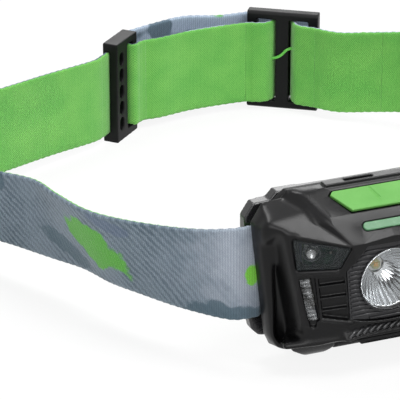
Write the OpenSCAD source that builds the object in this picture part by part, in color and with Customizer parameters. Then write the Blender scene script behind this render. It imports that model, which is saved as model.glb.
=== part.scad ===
// Head-worn lamp on an elastic band. Millimetres, +Z up, lamp faces -Y, floor at Z = 0.

/* [Band] */
// width of the elastic band
strap_w = 25.5; // [23:0.5:26]
// thickness of the elastic band
strap_t = 1.5; // [1.1:0.1:1.7]
// half width of the worn loop
loop_half_w = 84; // [76:1:92]
// depth of the worn loop, bracket slots to slider
loop_d = 156; // [144:1:168]
// clear gap between band and hard parts
strap_gap = 0.3; // [0.2:0.05:0.4]

/* [Lamp shell] */
// half width of the shell at the shoulders
shell_half_w = 32.2; // [31.5:0.1:34]
// height of the shoulders above the lens axis
shoulder_h = 19.8; // [19.2:0.1:20.4]
// height of the raised top above the shoulders
hump_rise = 2.1; // [1.6:0.1:2.6]
// depth of the shell below the lens axis
shell_low = 22; // [21.6:0.1:22.4]
// depth of the front shell, front plane to rim
shell_d = 17; // [16.8:0.1:17.2]
// sideways lean of the flanks in degrees
flank_lean = 6.9; // [6:0.1:7.5]
// lean of the inner wall of the flank scoops in degrees
scoop_lean = 10.6; // [10:0.1:11.4]
// wall of the front shell
wall = 1.8; // [1.5:0.1:2]
// thickness of the seal between the shells
seal_t = 0.5; // [0.4:0.1:0.7]
// thickness of the rear cover
cover_t = 2.1; // [1.8:0.1:2.1]

/* [Optics] */
// diameter of the main lens
lens_d = 17; // [16.4:0.1:17.6]
// thickness of the main lens at its rim
lens_t = 1.4; // [1.2:0.1:1.6]
// depth of the reflector bowl
bowl_d = 7.8; // [7:0.1:8.2]
// pitch of the ribs on the lens panel
rib_pitch = 1.25; // [1.15:0.05:1.5]
// clearance round seated clear parts
seat_gap = 0.12; // [0.08:0.02:0.2]

/* [Switch] */
// rear half width of the power button
button_rear = 12.6; // [12:0.1:13]
// front half width of the power button
button_front = 8.6; // [8:0.1:9.2]
// press travel of the power button
button_travel = 0.8; // [0.5:0.1:0.9]
// side clearance of the power button
button_gap = 0.35; // [0.3:0.05:0.5]

/* [Tilt hinge] */
// diameter of the hinge pin
pin_d = 2.5; // [2:0.1:2.8]
// outer radius of the bracket lugs
lug_r = 3.9; // [3.6:0.1:4]
// width of each lug
lug_w = 12; // [10:0.5:12.5]
// radius of the click drum on the cover
drum_r = 3.3; // [3:0.1:3.4]
// running clearance of the pin in the drum
pin_run = 0.05; // [0.03:0.01:0.08]
// angle between clicks
click_step = 15; // [12:1:15]

/* [Bracket] */
// thickness of the bracket plate
plate_t = 3.5; // [3:0.1:4]
// free gap between cover and bracket plate
plate_gap = 0.4; // [0.4:0.05:0.5]
// width of the outer bar beside each band slot
end_bar = 2.8; // [2.4:0.1:3]
// thickness of the forehead pad
pad_t = 3.4; // [2.5:0.1:5]

/* [Buckles] */
// height of both buckles
buckle_h = 31.5; // [31:0.1:32.5]
// length of the slider along the band
slider_l = 22; // [21:0.5:24]
// thickness of the slider bars
slider_t = 3.6; // [3:0.1:3.8]
// width of the slider centre bar
slider_bar = 4; // [3.4:0.1:4.2]
// length of the end ring along the band
ring_l = 13.2; // [12.8:0.1:14]
// thickness of the end ring
ring_t = 4.8; // [4.4:0.1:5.2]

/* [Charging port] */
// half width of the port cover
port_half = 7.2; // [6.6:0.1:7.6]
// thickness of the port cover
port_t = 1.5; // [1.2:0.1:1.7]

/* [Hidden] */
$fn = 48;
axis_y = shell_d + 1.8;
axis_z = -22.6;
lens_h = lug_r - axis_z;
plate_y = shell_d + seal_t + cover_t + plate_gap;
plate_back = plate_y + plate_t;
strap_y = plate_back + strap_gap + strap_t / 2;
strap_front_y = plate_y - strap_gap - strap_t / 2;
rail_back = strap_y + strap_t / 2 + strap_gap;
hump_h = shoulder_h + hump_rise;
slot_out = shell_half_w + 0.2 - end_bar;
slot_in = slot_out - 4.2;
kx = loop_half_w / 84;
ky = loop_d / 156;
back_z = buckle_h / 2 - lens_h;
lamp_y = -0.5 * (plate_y + 167.9 * ky) + 0.5 * 0.9;
swept_x = 9.8;
swept_a = 24.8;
past_d = shell_d + 2;
flange_y = shell_d - 4.8;
floor_y = shell_d - 3;
front_top = 11.4;
crease_y = 5.9;
crease_z = hump_h - 4.55;
slope_a = atan((crease_z - front_top) / crease_y);
room_y = wall + 2.4;
chin_y = 1.2;
chin_r = 60;
chin_mid = -12.8;
rail_r = 44;
rail_low = -11.6;
well_y = 9.9;
well_z = hump_h - 2.3;
well_a = 28.4;
lug_x = 14.8;
lens_r = lens_d / 2;
panel_y = 0.9;
panel_t = 1.6;
bowl_y = panel_y + panel_t + 0.1;
led_t = 0.8;
board_y = bowl_y + bowl_d + led_t + 0.1;
label_l = 14.2;
label_w = 2.3;
cell_y = board_y + 1.4;
cell_gap = 0.4;
switch_low = 7.7;
cell_top = well_z - switch_low * cos(well_a) - 2.2 * sin(well_a) - cell_gap;
port_y0 = 4.8;
port_y1 = 12.2;
port_z = -17.5;
port_axis_z = port_z - port_t / 2;
ring_at = [-6.8, plate_y + 153.8 * ky];
ring_a = 42;
slider_at = [47.2 * kx, plate_y + 155.2 * ky];
slider_a = -35;

// helpers: flat profiles pushed along one axis
module xz(a, b) {
    translate([0, b, 0])
        rotate([90, 0, 0])
            linear_extrude(b - a)
                children();
}

module yz(a, b) {
    translate([a, 0, 0])
        rotate([90, 0, 90])
            linear_extrude(b - a)
                children();
}

module rod_x(a, b, r) {
    translate([a, 0, 0])
        rotate([0, 90, 0])
            cylinder(h = b - a, r = r);
}

module rod_y(a, b, r) {
    translate([0, a, 0])
        rotate([-90, 0, 0])
            cylinder(h = b - a, r = r);
}

module both_sides() {
    children();
    mirror([1, 0, 0])
        children();
}

module lamp_at() {
    translate([0, lamp_y, lens_h])
        children();
}

// local frame on the left swept face: x runs outward along the face, y is outward normal, z up
module left_face() {
    rotate([0, -flank_lean, 0])
        translate([-swept_x, 0, 0])
            rotate([0, 0, 180 - swept_a])
                children();
}

// local frame on the sloping top: x right, y up the slope, z outward
module top_face() {
    translate([0, well_y, well_z])
        rotate([well_a, 0, 0])
            children();
}

// mirrored outline from its left half, listed bottom to top
function whole(p) = concat(p, [for (i = [len(p) - 1:-1:0]) [-p[i][0], p[i][1]]]);

function rim_half(w) = [
    [-23.4, -shell_low + w],
    [-26.8 + w, -shell_low + 1.5 + w * 0.6],
    [-28.4 + w, -shell_low + 5],
    [-shell_half_w + w, 14.6],
    [-shell_half_w + 3.3 + w * 0.6, shoulder_h - w],
    [-24.6, shoulder_h - w]];

function scoop_half() = [
    [-22, -19.7],
    [-25.7, -18.7],
    [-26.8, -16.4],
    [-27.2, 9],
    [-25, 14]];

function side_low() = [
    [past_d, -shell_low - 1],
    [floor_y + 1, -shell_low - 1],
    [floor_y + 1, -19.2],
    [port_y0 - 0.3, port_z],
    [chin_y, port_z],
    [chin_y, 30],
    [past_d, 30]];

function side_top() = [
    [past_d, shoulder_h + 3.8],
    [10.5, shoulder_h + 0.4],
    [-1, front_top + 0.15],
    [-1, -40],
    [past_d, -40]];

function side_hump() = [
    [past_d, hump_h],
    [14.2, hump_h],
    [crease_y, crease_z],
    [-1, front_top - tan(slope_a)],
    [-1, 8],
    [past_d, 8]];

function side_room() = [
    [past_d + 1, -16.6],
    [12, -16.4],
    [6.5, -15.2],
    [6.2, -12.6],
    [room_y, -10.4],
    [room_y, 10.5],
    [8.2, shoulder_h - 5.6],
    [13.2, shoulder_h - 2.6],
    [past_d + 1, shoulder_h - 2.4]];

function plan_face() = [
    [60, 0],
    [-swept_x, 0],
    [-swept_x - 36, 36 * tan(swept_a)],
    [-swept_x - 36, past_d],
    [60, past_d]];

function plan_wall() = [
    [60, -1],
    [-23, -1],
    [-23, 5.9],
    [-23.9, 6.9],
    [-24.4, 8.6],
    [-25.8, floor_y],
    [-60, floor_y],
    [-60, past_d],
    [60, past_d]];

function plan_cap() = [
    [60, 4],
    [-23.4, 6.3],
    [-31.6, flange_y + 0.2],
    [-45, flange_y + 0.2],
    [-45, past_d],
    [60, past_d]];

function plan_room() = [
    [60, room_y],
    [-14.8, room_y],
    [-20.2, 6 + wall * 0.6],
    [-21.6, 9.5],
    [-21.6, past_d + 1],
    [60, past_d + 1]];

module flank(p, lean = flank_lean) {
    rotate([0, -lean, 0])
        translate([0, 0, -40])
            linear_extrude(80)
                polygon(p);
}

// sloping shoulder of the left half
module shoulder() {
    rotate([0, -flank_lean, 0])
        yz(-60, 60) polygon(side_top());
}

// everything behind one flat facet: tilt is from level, turn is its heading
module facet(at, tilt, turn) {
    translate(at)
        rotate([0, tilt, turn])
            translate([-50, -50, -100])
                cube(100);
}

// both halves of a left-hand limit
module limits() {
    intersection() {
        children();
        mirror([1, 0, 0]) children();
    }
}

module shell_solid() {
    // bezel, shoulders and the floor of the scoops
    intersection() {
        xz(0, past_d) polygon(whole(rim_half(0)));
        union() {
            yz(-40, 40) polygon(side_low());
            bezel_rail();
        }
        limits() shoulder();
        limits() flank(plan_face());
        limits() flank(plan_wall(), scoop_lean);
    }
    // rim that stands in front of the scoops
    difference() {
        intersection() {
            xz(flange_y, past_d) polygon(whole(rim_half(0.5)));
            limits() shoulder();
        }
        xz(flange_y - 1, floor_y + 0.6) polygon(whole(scoop_half()));
    }
    // shoulders closing the scoops at the top
    intersection() {
        xz(0, past_d) polygon(whole(rim_half(0.5)));
        limits() shoulder();
        limits() flank(plan_cap());
        yz(-40, 40) polygon([[7.5, 16], [floor_y, 7], [past_d, 7], [past_d, 30], [7.5, 30]]);
    }
    // raised top with facetted sides
    intersection() {
        yz(-26, 26) polygon(side_hump());
        limits() facet([-18.8, 11.9, hump_h - 1.3], 60, -137.8);
        limits() facet([-14.7, 3.8, crease_z - 2.05], 85, -134.5);
        limits() flank(plan_face());
        limits() flank(plan_wall(), scoop_lean);
    }
    // raised rib behind the button
    translate([-12.8, 14.1, hump_h - 2])
        cube([25.6, past_d - 14.1, 2.7]);
    chin_lip();
    both_sides() ledges();
}

// front plane above the hollow chin, with an arched lower edge
module bezel_rail() {
    intersection() {
        xz(0, 4)
            translate([0, rail_low + rail_r])
                circle(r = rail_r, $fn = 180);
        translate([-40, -1, -20])
            cube([80, 6, 50]);
    }
}

// flared lip: arched across the front, then along the swept faces to the rim
module chin_lip() {
    intersection() {
        translate([0, 0, chin_mid - chin_r])
            rotate([-90, 0, 0])
                rotate_extrude($fn = 240)
                    translate([chin_r, 0])
                        polygon([[1.2, 4], [1.2, chin_y + 0.5], [-0.7, -0.2], [-2.2, 0.3], [-2.2, 4]]);
        translate([-13, -1, -20])
            cube([26, 6, 20]);
    }
    both_sides()
        intersection() {
            left_face()
                rotate([0, 3.5, 0])
                    yz(3, 21.5)
                        polygon([[-6, -12.2], [0, -12], [1.2, -13.4], [1.1, -14.1], [-6, -14.6]]);
            xz(-2, flange_y + 1) polygon(whole(rim_half(1)));
        }
}

// thin ledges under the window and under the louvres
module ledges() {
    left_face() {
        xz(-0.5, 0.35) polygon([[4.3, 6.2], [15.2, 6.6], [15.1, 5.9], [4.6, 5.5]]);
        xz(-0.5, 0.3) polygon([[2.2, -8.9], [9.9, -7.4], [9.9, -8], [2.2, -9.5]]);
    }
}

module shell_room() {
    intersection() {
        yz(-21.6, 21.6) polygon(side_room());
        flank(plan_room());
        mirror([1, 0, 0]) flank(plan_room());
    }
}

function panel_half(g) = concat(
    [for (x = [-1:-3:-10]) [x, rail_low + 0.8 + x * x / (2 * rail_r) - g]],
    [[-11.2 - g, -9.6 - g * 0.5], [-12.4 - g, 4.2 + g * 0.4], [-7 - g * 0.4, 10.3 + g]]);

function window_pts(g) = [
    [0.4 - g, 11.9 + g],
    [15.2 + g, 15.8 + g],
    [14.9 + g, 6.9 - g],
    [3.9 - g, 6.5 - g]];

function side_lens_pts(g) = [
    [12 - g, 4.3 + g],
    [14.5 + g, 4.3 + g],
    [13.3 + g, -7.5 - g],
    [11 - g, -7.5 - g]];

function button_pts(g) = [
    [-button_front - g, -3.7 - g],
    [button_front + g, -3.7 - g],
    [button_rear + g, 2.1 + g * 0.3],
    [button_rear - 1 + g * 0.5, 3.1 + g],
    [-button_rear + 1 - g * 0.5, 3.1 + g],
    [-button_rear - g, 2.1 + g * 0.3]];

module window_cuts() {
    left_face() {
        xz(-1.4, 2) polygon(window_pts(seat_gap));
        xz(-9, 0) polygon([[4, 11.2], [14.1, 13.9], [13.9, 7.7], [5.6, 7.4]]);
        xz(-6, 2) polygon(side_lens_pts(seat_gap));
        // open slot carried on below the side lens
        xz(-1.2, 2) polygon([[11, -7.2], [13.3, -7.2], [13.1, -9.4], [12.4, -10.2], [11.5, -9.8]]);
        // dark gap beside it
        xz(-1, 2) polygon([[10.5, 4.5], [12.3, 4.5], [11.5, -8.5], [10.3, -7.6]]);
        // louvre recess with three fins left standing
        difference() {
            xz(-1.5, 2) polygon([[3.1, 4.2], [9.8, 4.2], [9.7, -7.1], [3.1, -8.5]]);
            for (t = [2, -1.5, -5])
                translate([0, -2, t])
                    rotate([0, 4, 0])
                        cube([12, 1.7, 0.5]);
        }
    }
}

// slanted grip grooves across the chin lip
module chin_grooves() {
    for (x = [-11.4:1.9:11.4])
        translate([x, 0, chin_mid - x * x / (2 * chin_r)])
            rotate([0, -24, 0])
                translate([-2.2, -2, -0.2])
                    cube([4.4, 2.7, 0.4]);
}

module front_housing() {
    color("dimgray")
    lamp_at()
    difference() {
        shell_solid();
        // flat rear face
        translate([-60, shell_d, -60])
            cube([120, 20, 120]);
        shell_room();
        // lens panel opening, stepped
        xz(-1, panel_y + panel_t) polygon(whole(panel_half(seat_gap)));
        xz(0, room_y + 0.2) polygon(whole(panel_half(-1)));
        both_sides() window_cuts();
        chin_grooves();
        // underside of the chin, arched in front of the port
        xz(-2, port_y0 - 0.3)
            translate([0, chin_mid - chin_r])
                circle(r = chin_r - 1.4, $fn = 180);
        // button well, stem hole and label recess
        top_face() {
            translate([0, 0, -1.7])
                linear_extrude(8)
                    polygon(button_pts(button_gap));
            translate([0, 0, -8])
                cylinder(h = 9, r = 1.9);
            translate([-4.6, -2.4, -9])
                cube([9.2, 4.8, 4.9]);
        }
        label_frame()
            translate([0, 0, -0.6])
                linear_extrude(3)
                    pill(label_l + 2 * seat_gap, label_w + 2 * seat_gap);
        // finger slot in the rear rib
        translate([-7, shell_d - 2.1, hump_h - 1.3])
            cube([8, 1.4, 3]);
        // relief for lugs and drum
        translate([0, axis_y, axis_z])
            rod_x(-lug_x - lug_w / 2 - 0.5, lug_x + lug_w / 2 + 0.5, lug_r + 0.5);
        // port cover seat, socket hole and hinge relief
        translate([-port_half - 0.3, port_y0 - 0.3, port_z])
            rotate([0, 180, 0])
                translate([-2 * port_half - 0.6, 0, 0])
                    cube([2 * port_half + 0.6, port_y1 - port_y0 + 1.6, 8]);
        translate([-4.1, 6.5, -18])
            cube([8.2, 3.4, 4]);
        both_sides()
            for (z = [15, -14.5])
                translate([24, 0, z])
                    rod_y(shell_d - 2.1, shell_d + 1, 0.82);
    }
}

// local frame on the front slope for the bare label
module label_frame() {
    translate([0, 3.2, front_top + 3.2 * tan(slope_a)])
        rotate([slope_a, 0, 0])
            children();
}

module pill(l, w) {
    translate([-(l - w) / 2, -w / 2])
        square([l - w, w]);
    translate([-(l - w) / 2, 0])
        circle(d = w);
    translate([(l - w) / 2, 0])
        circle(d = w);
}

module label_strip() {
    color("seagreen")
    lamp_at()
    label_frame()
        translate([0, 0, -0.6])
            linear_extrude(0.85)
                pill(label_l, label_w);
}

function cover_half(g) = [
    [-22.5 - g, -20.4 - g],
    [-25.3 - g, -17],
    [-25.3 - g, shoulder_h - 1.6],
    [-24 - g, shoulder_h - 0.2 + g],
    [-22 - g * 0.5, hump_h - 0.6 + g]];

module housing_seal() {
    color("black")
    lamp_at()
    difference() {
        xz(shell_d, shell_d + seal_t) polygon(whole(cover_half(0)));
        xz(shell_d - 1, shell_d + 1 + seal_t)
            polygon([[-22, -17.4], [22, -17.4], [22, 16.8], [-22, 16.8]]);
        translate([0, axis_y, axis_z])
            rod_x(-30, 30, lug_r + 0.5);
        both_sides()
            for (z = [15, -14.5])
                translate([24, 0, z])
                    rod_y(shell_d - 1, shell_d + 2, 0.85);
    }
}

module rear_cover() {
    cy = shell_d + seal_t;
    color("dimgray")
    lamp_at()
    difference() {
        union() {
            difference() {
                xz(cy, cy + cover_t) polygon(whole(cover_half(0)));
                translate([0, axis_y, axis_z])
                    rod_x(-30, 30, lug_r + 0.5);
                // shallow field on the back
                translate([-20, cy + cover_t - 0.5, -12])
                    cube([40, 2, 26]);
            }
            translate([0, axis_y, axis_z])
                rod_x(-8.3, 8.3, drum_r);
            translate([-8.3, cy, axis_z])
                cube([16.6, cover_t, 6]);
        }
        translate([0, axis_y, axis_z])
            rod_x(-9, 9, pin_d / 2 + pin_run);
        for (k = [0:4])
            translate([0, axis_y, axis_z])
                rotate([8 - click_step * k, 0, 0])
                    translate([0, drum_r, 0])
                        rod_x(-3, 3, 0.33);
        both_sides()
            for (z = [15, -14.5])
                translate([24, 0, z]) {
                    rod_y(cy - 1, cy + 4, 0.85);
                    rod_y(cy + cover_t - 0.9, cy + 4, 1.45);
                }
    }
}

module cover_screws() {
    cy = shell_d + seal_t;
    color("silver")
    lamp_at()
    both_sides()
        for (z = [15, -14.5])
            translate([24, 0, z])
                difference() {
                    union() {
                        rod_y(shell_d - 2, cy + cover_t - 0.5, 0.8);
                        rod_y(cy + cover_t - 0.9, cy + cover_t - 0.1, 1.4);
                    }
                    translate([-0.95, cy + cover_t - 0.5, -0.16])
                        cube([1.9, 1, 0.32]);
                    translate([-0.16, cy + cover_t - 0.5, -0.95])
                        cube([0.32, 1, 1.9]);
                }
}

module lens_panel() {
    color("black")
    lamp_at()
    difference() {
        union() {
            xz(panel_y, panel_y + panel_t) polygon(whole(panel_half(0)));
            rod_y(panel_y - 0.5, panel_y + 0.5, lens_r + 0.4);
            // ribs across the face
            intersection() {
                xz(panel_y - 0.45, panel_y + 0.2) polygon(whole(panel_half(-0.4)));
                for (z = [-8 * rib_pitch:rib_pitch:8.2 * rib_pitch])
                    translate([-20, panel_y - 0.45, z - 0.3])
                        cube([40, 1, 0.6]);
            }
        }
        rod_y(panel_y - 2, panel_y + panel_t + 1, lens_r - 0.35);
        rod_y(panel_y - 2, panel_y + lens_t - 0.5, lens_r + seat_gap);
    }
}

module main_lens() {
    color("lightcyan")
    lamp_at()
    translate([0, panel_y - 0.5, 0])
        rotate([-90, 0, 0])
            rotate_extrude($fn = 96)
                polygon(concat([[0, lens_t], [lens_r, lens_t], [lens_r, 0]],
                    [for (a = [80:-20:0]) [lens_r * sin(a) * 0.99, -cos(a)]]));
}

function bowl(r0, r1, d, o) = [for (k = [0:8]) [r0 + (r1 - r0) * k / 8 + o,
    d * (pow(r1, 2) - pow(r0 + (r1 - r0) * k / 8, 2)) / (pow(r1, 2) - pow(r0, 2))]];

module reflector() {
    color("gainsboro")
    lamp_at()
    translate([0, bowl_y, 0])
        rotate([-90, 0, 0])
            rotate_extrude($fn = 96)
                polygon(concat(bowl(2, lens_r - 0.4, bowl_d, 0),
                    [for (k = [8:-1:0]) bowl(2, lens_r - 0.4, bowl_d, 0.6)[k]]));
}

module main_led() {
    color("khaki")
    lamp_at() {
        translate([-1.75, board_y - led_t, -1.75])
            cube([3.5, led_t, 3.5]);
        intersection() {
            translate([0, board_y - led_t, 0])
                sphere(r = 1.3);
            translate([-2, board_y - led_t - 2, -2])
                cube([4, 2, 4]);
        }
    }
}

module led_board() {
    color("darkgreen")
    lamp_at()
    difference() {
        translate([-19.8, board_y, -8.5])
            cube([39.6, 1.2, 17]);
        both_sides()
            translate([15, 0, -6.5])
                rod_y(board_y - 1, board_y + 3, 0.8);
    }
}

module window_body() {
    left_face()
        difference() {
            xz(-1.3, 0.1) polygon(window_pts(0));
            xz(-2, -1) polygon([[4.6, 10.9], [13.6, 13.3], [13.4, 8.3], [6.2, 8]]);
        }
}

module left_window() {
    color("slategray")
    lamp_at()
    window_body();
}

module right_window() {
    color("slategray")
    lamp_at()
    mirror([1, 0, 0])
        window_body();
}

module window_leds() {
    color("ivory")
    lamp_at()
    both_sides() {
        left_face() {
            translate([10.9, -4.1, 10.1])
                rod_y(0, 1.6, 1.25);
            intersection() {
                translate([10.9, -2.5, 10.1])
                    sphere(r = 1.25);
                translate([8, -2.6, 6])
                    cube([8, 3, 8]);
            }
            translate([9.2, -4.9, 8.3])
                cube([3.4, 0.8, 3.6]);
        }
        // leg down to the board
        translate([-19.4, 9, 6.9])
            cube([2, board_y - 9, 1.5]);
    }
}

module side_lens_body() {
    left_face() {
        xz(-2.2, 0) polygon(side_lens_pts(0));
        intersection() {
            xz(-0.5, 1) polygon(side_lens_pts(-0.25));
            for (z = [3.6:-1.05:-7])
                translate([8, 0.05, z])
                    rod_x(0, 9, 0.42);
        }
    }
}

module left_side_lens() {
    color("lightcyan")
    lamp_at()
    side_lens_body();
}

module right_side_lens() {
    color("lightcyan")
    lamp_at()
    mirror([1, 0, 0])
        side_lens_body();
}

module side_leds() {
    color("ivory")
    lamp_at()
    both_sides() {
        left_face() {
            translate([11.4, -4, -5.6])
                cube([1.8, 0.6, 8]);
            for (z = [-4.4, -2, 0.4])
                translate([11.7, -3.4, z])
                    cube([1.2, 0.5, 1.2]);
        }
        // leg down to the board
        translate([-19.6, 8.8, -4])
            cube([1.6, board_y - 8.8, 2]);
    }
}

module power_button() {
    color("limegreen")
    lamp_at()
    top_face() {
        difference() {
            translate([0, 0, -0.6])
                linear_extrude(1.05)
                    polygon(button_pts(0));
            // slanted crease across the middle
            translate([-0.8, 0.7, 0.45])
                rotate([0, 0, -66])
                    rotate([45, 0, 0])
                        cube([4.4, 0.55, 0.55], center = true);
        }
        translate([0, 0, -3.6])
            cylinder(h = 3.2, r = 1.5);
    }
}

module button_switch() {
    color("black")
    lamp_at()
    top_face() {
        translate([-3, -2, 0.8 - switch_low])
            cube([6, 4, 2]);
        translate([0, 0, -5])
            cylinder(h = 0.5, r = 1.1);
        translate([-4.4, -2.2, -switch_low])
            cube([8.8, 4.4, 0.8]);
    }
}

module battery() {
    color("royalblue")
    lamp_at()
    translate([0, 0, cell_top])
        xz(cell_y, shell_d - 0.3) {
            translate([-19, -25.6])
                square([38, 24]);
            translate([-8, -1.6])
                square([16, 1.6]);
        }
}

module usb_socket() {
    color("silver")
    lamp_at()
    difference() {
        translate([-3.75, 6.9, -16.7])
            cube([7.5, 2.6, 5.6]);
        translate([-3.35, 7.3, -17])
            cube([6.7, 1.8, 5.2]);
        // keyed corners of the mouth
        both_sides()
            translate([3.75, 9.5, -17])
                rotate([0, 0, 45])
                    cube([0.8, 0.8, 13], center = true);
    }
}

module usb_cover() {
    color("black")
    lamp_at() {
        difference() {
            translate([-port_half, port_y0, port_z - 0.25 - port_t])
                cube([2 * port_half, port_y1 - port_y0, port_t]);
            both_sides()
                translate([port_half, port_y0, port_z - port_t - 0.25])
                    rotate([0, 45, 0])
                        cube([1.6, 30, 1.6], center = true);
            // grip line
            translate([-5, port_y0 - 0.3, port_z - port_t - 0.05])
                cube([10, 0.7, 0.6]);
        }
        // plug that fills the socket mouth
        translate([-3, 7.75, port_z - 0.6])
            cube([6, 0.95, 1.5]);
        // hinge roll
        translate([0, port_y1, port_axis_z - 0.25])
            rod_x(-5, 5, port_t / 2);
    }
}

function plate_half() = [
    [-24.5, -20],
    [-shell_half_w + 4, -19.4],
    [-shell_half_w + 2, -17.4],
    [-slot_out - end_bar + 1.4, -14],
    [-slot_out - end_bar, 14.3],
    [-slot_out - end_bar + 2.4, 17.9],
    [-shell_half_w + 6.7, 18.2],
    [-23.6, 20.2],
    [-8.5, 19.7]];

module bracket() {
    slot_h = strap_w + 2 * strap_gap + 0.6;
    color("gray")
    lamp_at()
    difference() {
        union() {
            xz(plate_y, plate_back) polygon(whole(plate_half()));
            // rails that carry the pad and leave a channel for the band
            both_sides() {
                translate([3.6, plate_back - 0.1, slot_h / 2 + 0.1])
                    cube([16.4, rail_back - plate_back + 0.1, 4]);
                translate([3.6, plate_back - 0.1, -slot_h / 2 - 4.1])
                    cube([16.4, rail_back - plate_back + 0.1, 4]);
            }
            // stop tab on the top edge
            translate([-4.4, plate_y - 0.2, 18])
                cube([20.4, 2.4, 2.3]);
            both_sides() lug();
        }
        both_sides() {
            translate([-slot_out, plate_y - 1, -slot_h / 2 - 0.4])
                cube([slot_out - slot_in, plate_t + 2, slot_h]);
        }
        // room for the drum and the click spring
        translate([-8.8, plate_y - 5, -30])
            cube([17.6, plate_t + 10, 11.6]);
        // weight-saving field on the front
        translate([-18, plate_y - 1, -12.5])
            cube([36, 2.2, 25]);
        translate([0, axis_y, axis_z])
            rod_x(-30, 30, pin_d / 2 + 0.02);
    }
}

module lug() {
    x0 = lug_x - lug_w / 2;
    intersection() {
        union() {
            translate([0, axis_y, axis_z])
                rod_x(x0, x0 + lug_w, lug_r);
            translate([x0, plate_y, axis_z])
                cube([lug_w, plate_t, 6]);
            translate([x0, axis_y, axis_z - lug_r])
                cube([lug_w, plate_back - axis_y, lug_r + 1]);
        }
        xz(0, 40)
            polygon([[x0, 0], [x0 + lug_w, 0], [x0 + lug_w, -23.2], [lug_x + 0.8, axis_z - lug_r],
                [lug_x - 3, axis_z - lug_r], [x0, -24]]);
    }
}

module hinge_pin() {
    color("silver")
    lamp_at()
    translate([0, axis_y, axis_z])
        rod_x(-lug_x - lug_w / 2 + 0.4, lug_x + lug_w / 2 - 0.4, pin_d / 2);
}

module click_spring() {
    foot = -0.4 - strap_w / 2 - 1.05;
    nose = [axis_y + (drum_r - 0.2) * cos(8), axis_z + (drum_r - 0.2) * sin(8)];
    color("silver")
    lamp_at()
    yz(-2.4, 2.4)
        polygon([[plate_back, foot], [plate_back, -18.6], [nose[0] + 0.9, nose[1] + 1.2], nose,
            [nose[0] + 1, nose[1] - 1.3], [nose[0] + 1.4, nose[1] - 1.2], [nose[0] + 0.55, nose[1]],
            [nose[0] + 1.3, nose[1] + 1.1], [plate_back + 0.4, -18.5], [plate_back + 0.4, foot]]);
}

module forehead_pad() {
    color("darkslategray")
    lamp_at()
    difference() {
        xz(rail_back, rail_back + pad_t)
            polygon(whole([[-slot_in + 8.4, -16.8], [-slot_in + 4.8, -13.7], [-slot_in + 4.8, 13.7],
                [-slot_in + 8.4, 16.8]]));
        for (x = [-12:6:12])
            translate([x - 0.8, rail_back + pad_t - 1.2, -30])
                cube([1.6, 3, 60]);
    }
}

// band: smooth run through hand-set points [x, y, z, lean of the top edge outward]
function spline(a, b, c, d, t) = 0.5 * ((2 * b) + (c - a) * t + (2 * a - 5 * b + 4 * c - d) * t * t
    + (3 * b - a - 3 * c + d) * t * t * t);
function run(p, n) = concat([for (i = [1:len(p) - 3]) for (k = [0:n - 1])
    spline(p[i - 1], p[i], p[i + 1], p[i + 2], k / n)], [p[len(p) - 2]]);
function unit(v) = v / norm(v);
function flat_unit(a, b) = unit([b[0] - a[0], b[1] - a[1]]);
function heading(p, s, i) = i == 0 ? flat_unit(p[0], p[2])
    : i == len(s) - 1 ? flat_unit(p[len(p) - 3], p[len(p) - 1]) : flat_unit(s[i - 1], s[i + 1]);
function section(p, h) = let (n = [-h[1], h[0]], c = cos(p[3]), s = sin(p[3]),
    w = [n[0] * s, n[1] * s, c] * strap_w / 2, m = [n[0] * c, n[1] * c, -s] * strap_t / 2, o = [p[0], p[1], p[2]])
    [o + m + w, o + m - w, o - m - w, o - m + w];

module band(p) {
    s = run(p, 4);
    k = len(s);
    pts = [for (i = [0:k - 1]) each section(s[i], heading(p, s, i))];
    sides = [for (i = [0:k - 2]) for (j = [0:3]) let (a = 4 * i + j, b = 4 * i + (j + 1) % 4)
        each [[a, b, b + 4], [a, b + 4, a + 4]]];
    ends = [[0, 3, 2], [0, 2, 1], [4 * k - 4, 4 * k - 3, 4 * k - 2], [4 * k - 4, 4 * k - 2, 4 * k - 1]];
    polyhedron(points = pts, faces = concat(sides, ends));
}

// points in a buckle frame: along the band, outward, height
function seat(at, a, p) = [at[0] + p[0] * cos(a) - p[1] * sin(a), at[1] + p[0] * sin(a) + p[1] * cos(a), p[2], 0];
function flip(p) = [-p[0], p[1], p[2], p[3]];
function far(x, y, z, l) = [x * kx, plate_y + (y - 20) * ky, z, l];

slot_run = [
    [-slot_in + 5.4, strap_y, -0.4, 0],
    [-slot_in + 2.4, strap_y, -0.4, 0],
    [-slot_in + 0.3, strap_y - 0.03, -0.4, 0],
    [-slot_in - 0.74, plate_back + 0.7, -0.4, 0],
    [-slot_in - 1.3, plate_back - 0.3, -0.4, 0],
    [-0.5 * (slot_in + slot_out), 0.5 * (plate_y + plate_back), -0.4, 0],
    [-slot_out + 1.3, plate_y + 0.3, -0.4, 0],
    [-slot_out + 0.74, plate_y - 0.7, -0.4, 0],
    [-slot_out - 0.3, strap_front_y + 0.03, -0.4, 0],
    [-slot_out - 3.8, strap_front_y, -0.4, 0],
    [-slot_out - 6.9, plate_y - 0.1, -0.5, 2]];

left_far = [
    [-slot_out - 12.4, plate_y + 4.6 * ky, -0.9, 9],
    far(-48.6, 32.6, -1.4, 15),
    far(-54.8, 42.6, -2, 20),
    far(-60, 52, -2.2, 22),
    far(-63.2, 64.5, -2.6, 21),
    far(-67, 75.8, -3, 15),
    far(-74.4, 89.4, -3.8, 18),
    far(-81, 103, -4.8, 16),
    far(-83.6, 118, -5.8, 12),
    far(-80, 133, -7, 8),
    far(-70.5, 143.6, -8, 4),
    far(-54, 150.4, -9, 1),
    far(-35, 159, -10, 0)];

left_end = [
    seat(ring_at, ring_a, [-15, 2, back_z]),
    seat(ring_at, ring_a, [-10, 1.15, back_z]),
    seat(ring_at, ring_a, [-6.6, 1.1, back_z]),
    seat(ring_at, ring_a, [-3, 1.1, back_z]),
    seat(ring_at, ring_a, [-2, 1.1, back_z])];

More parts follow.
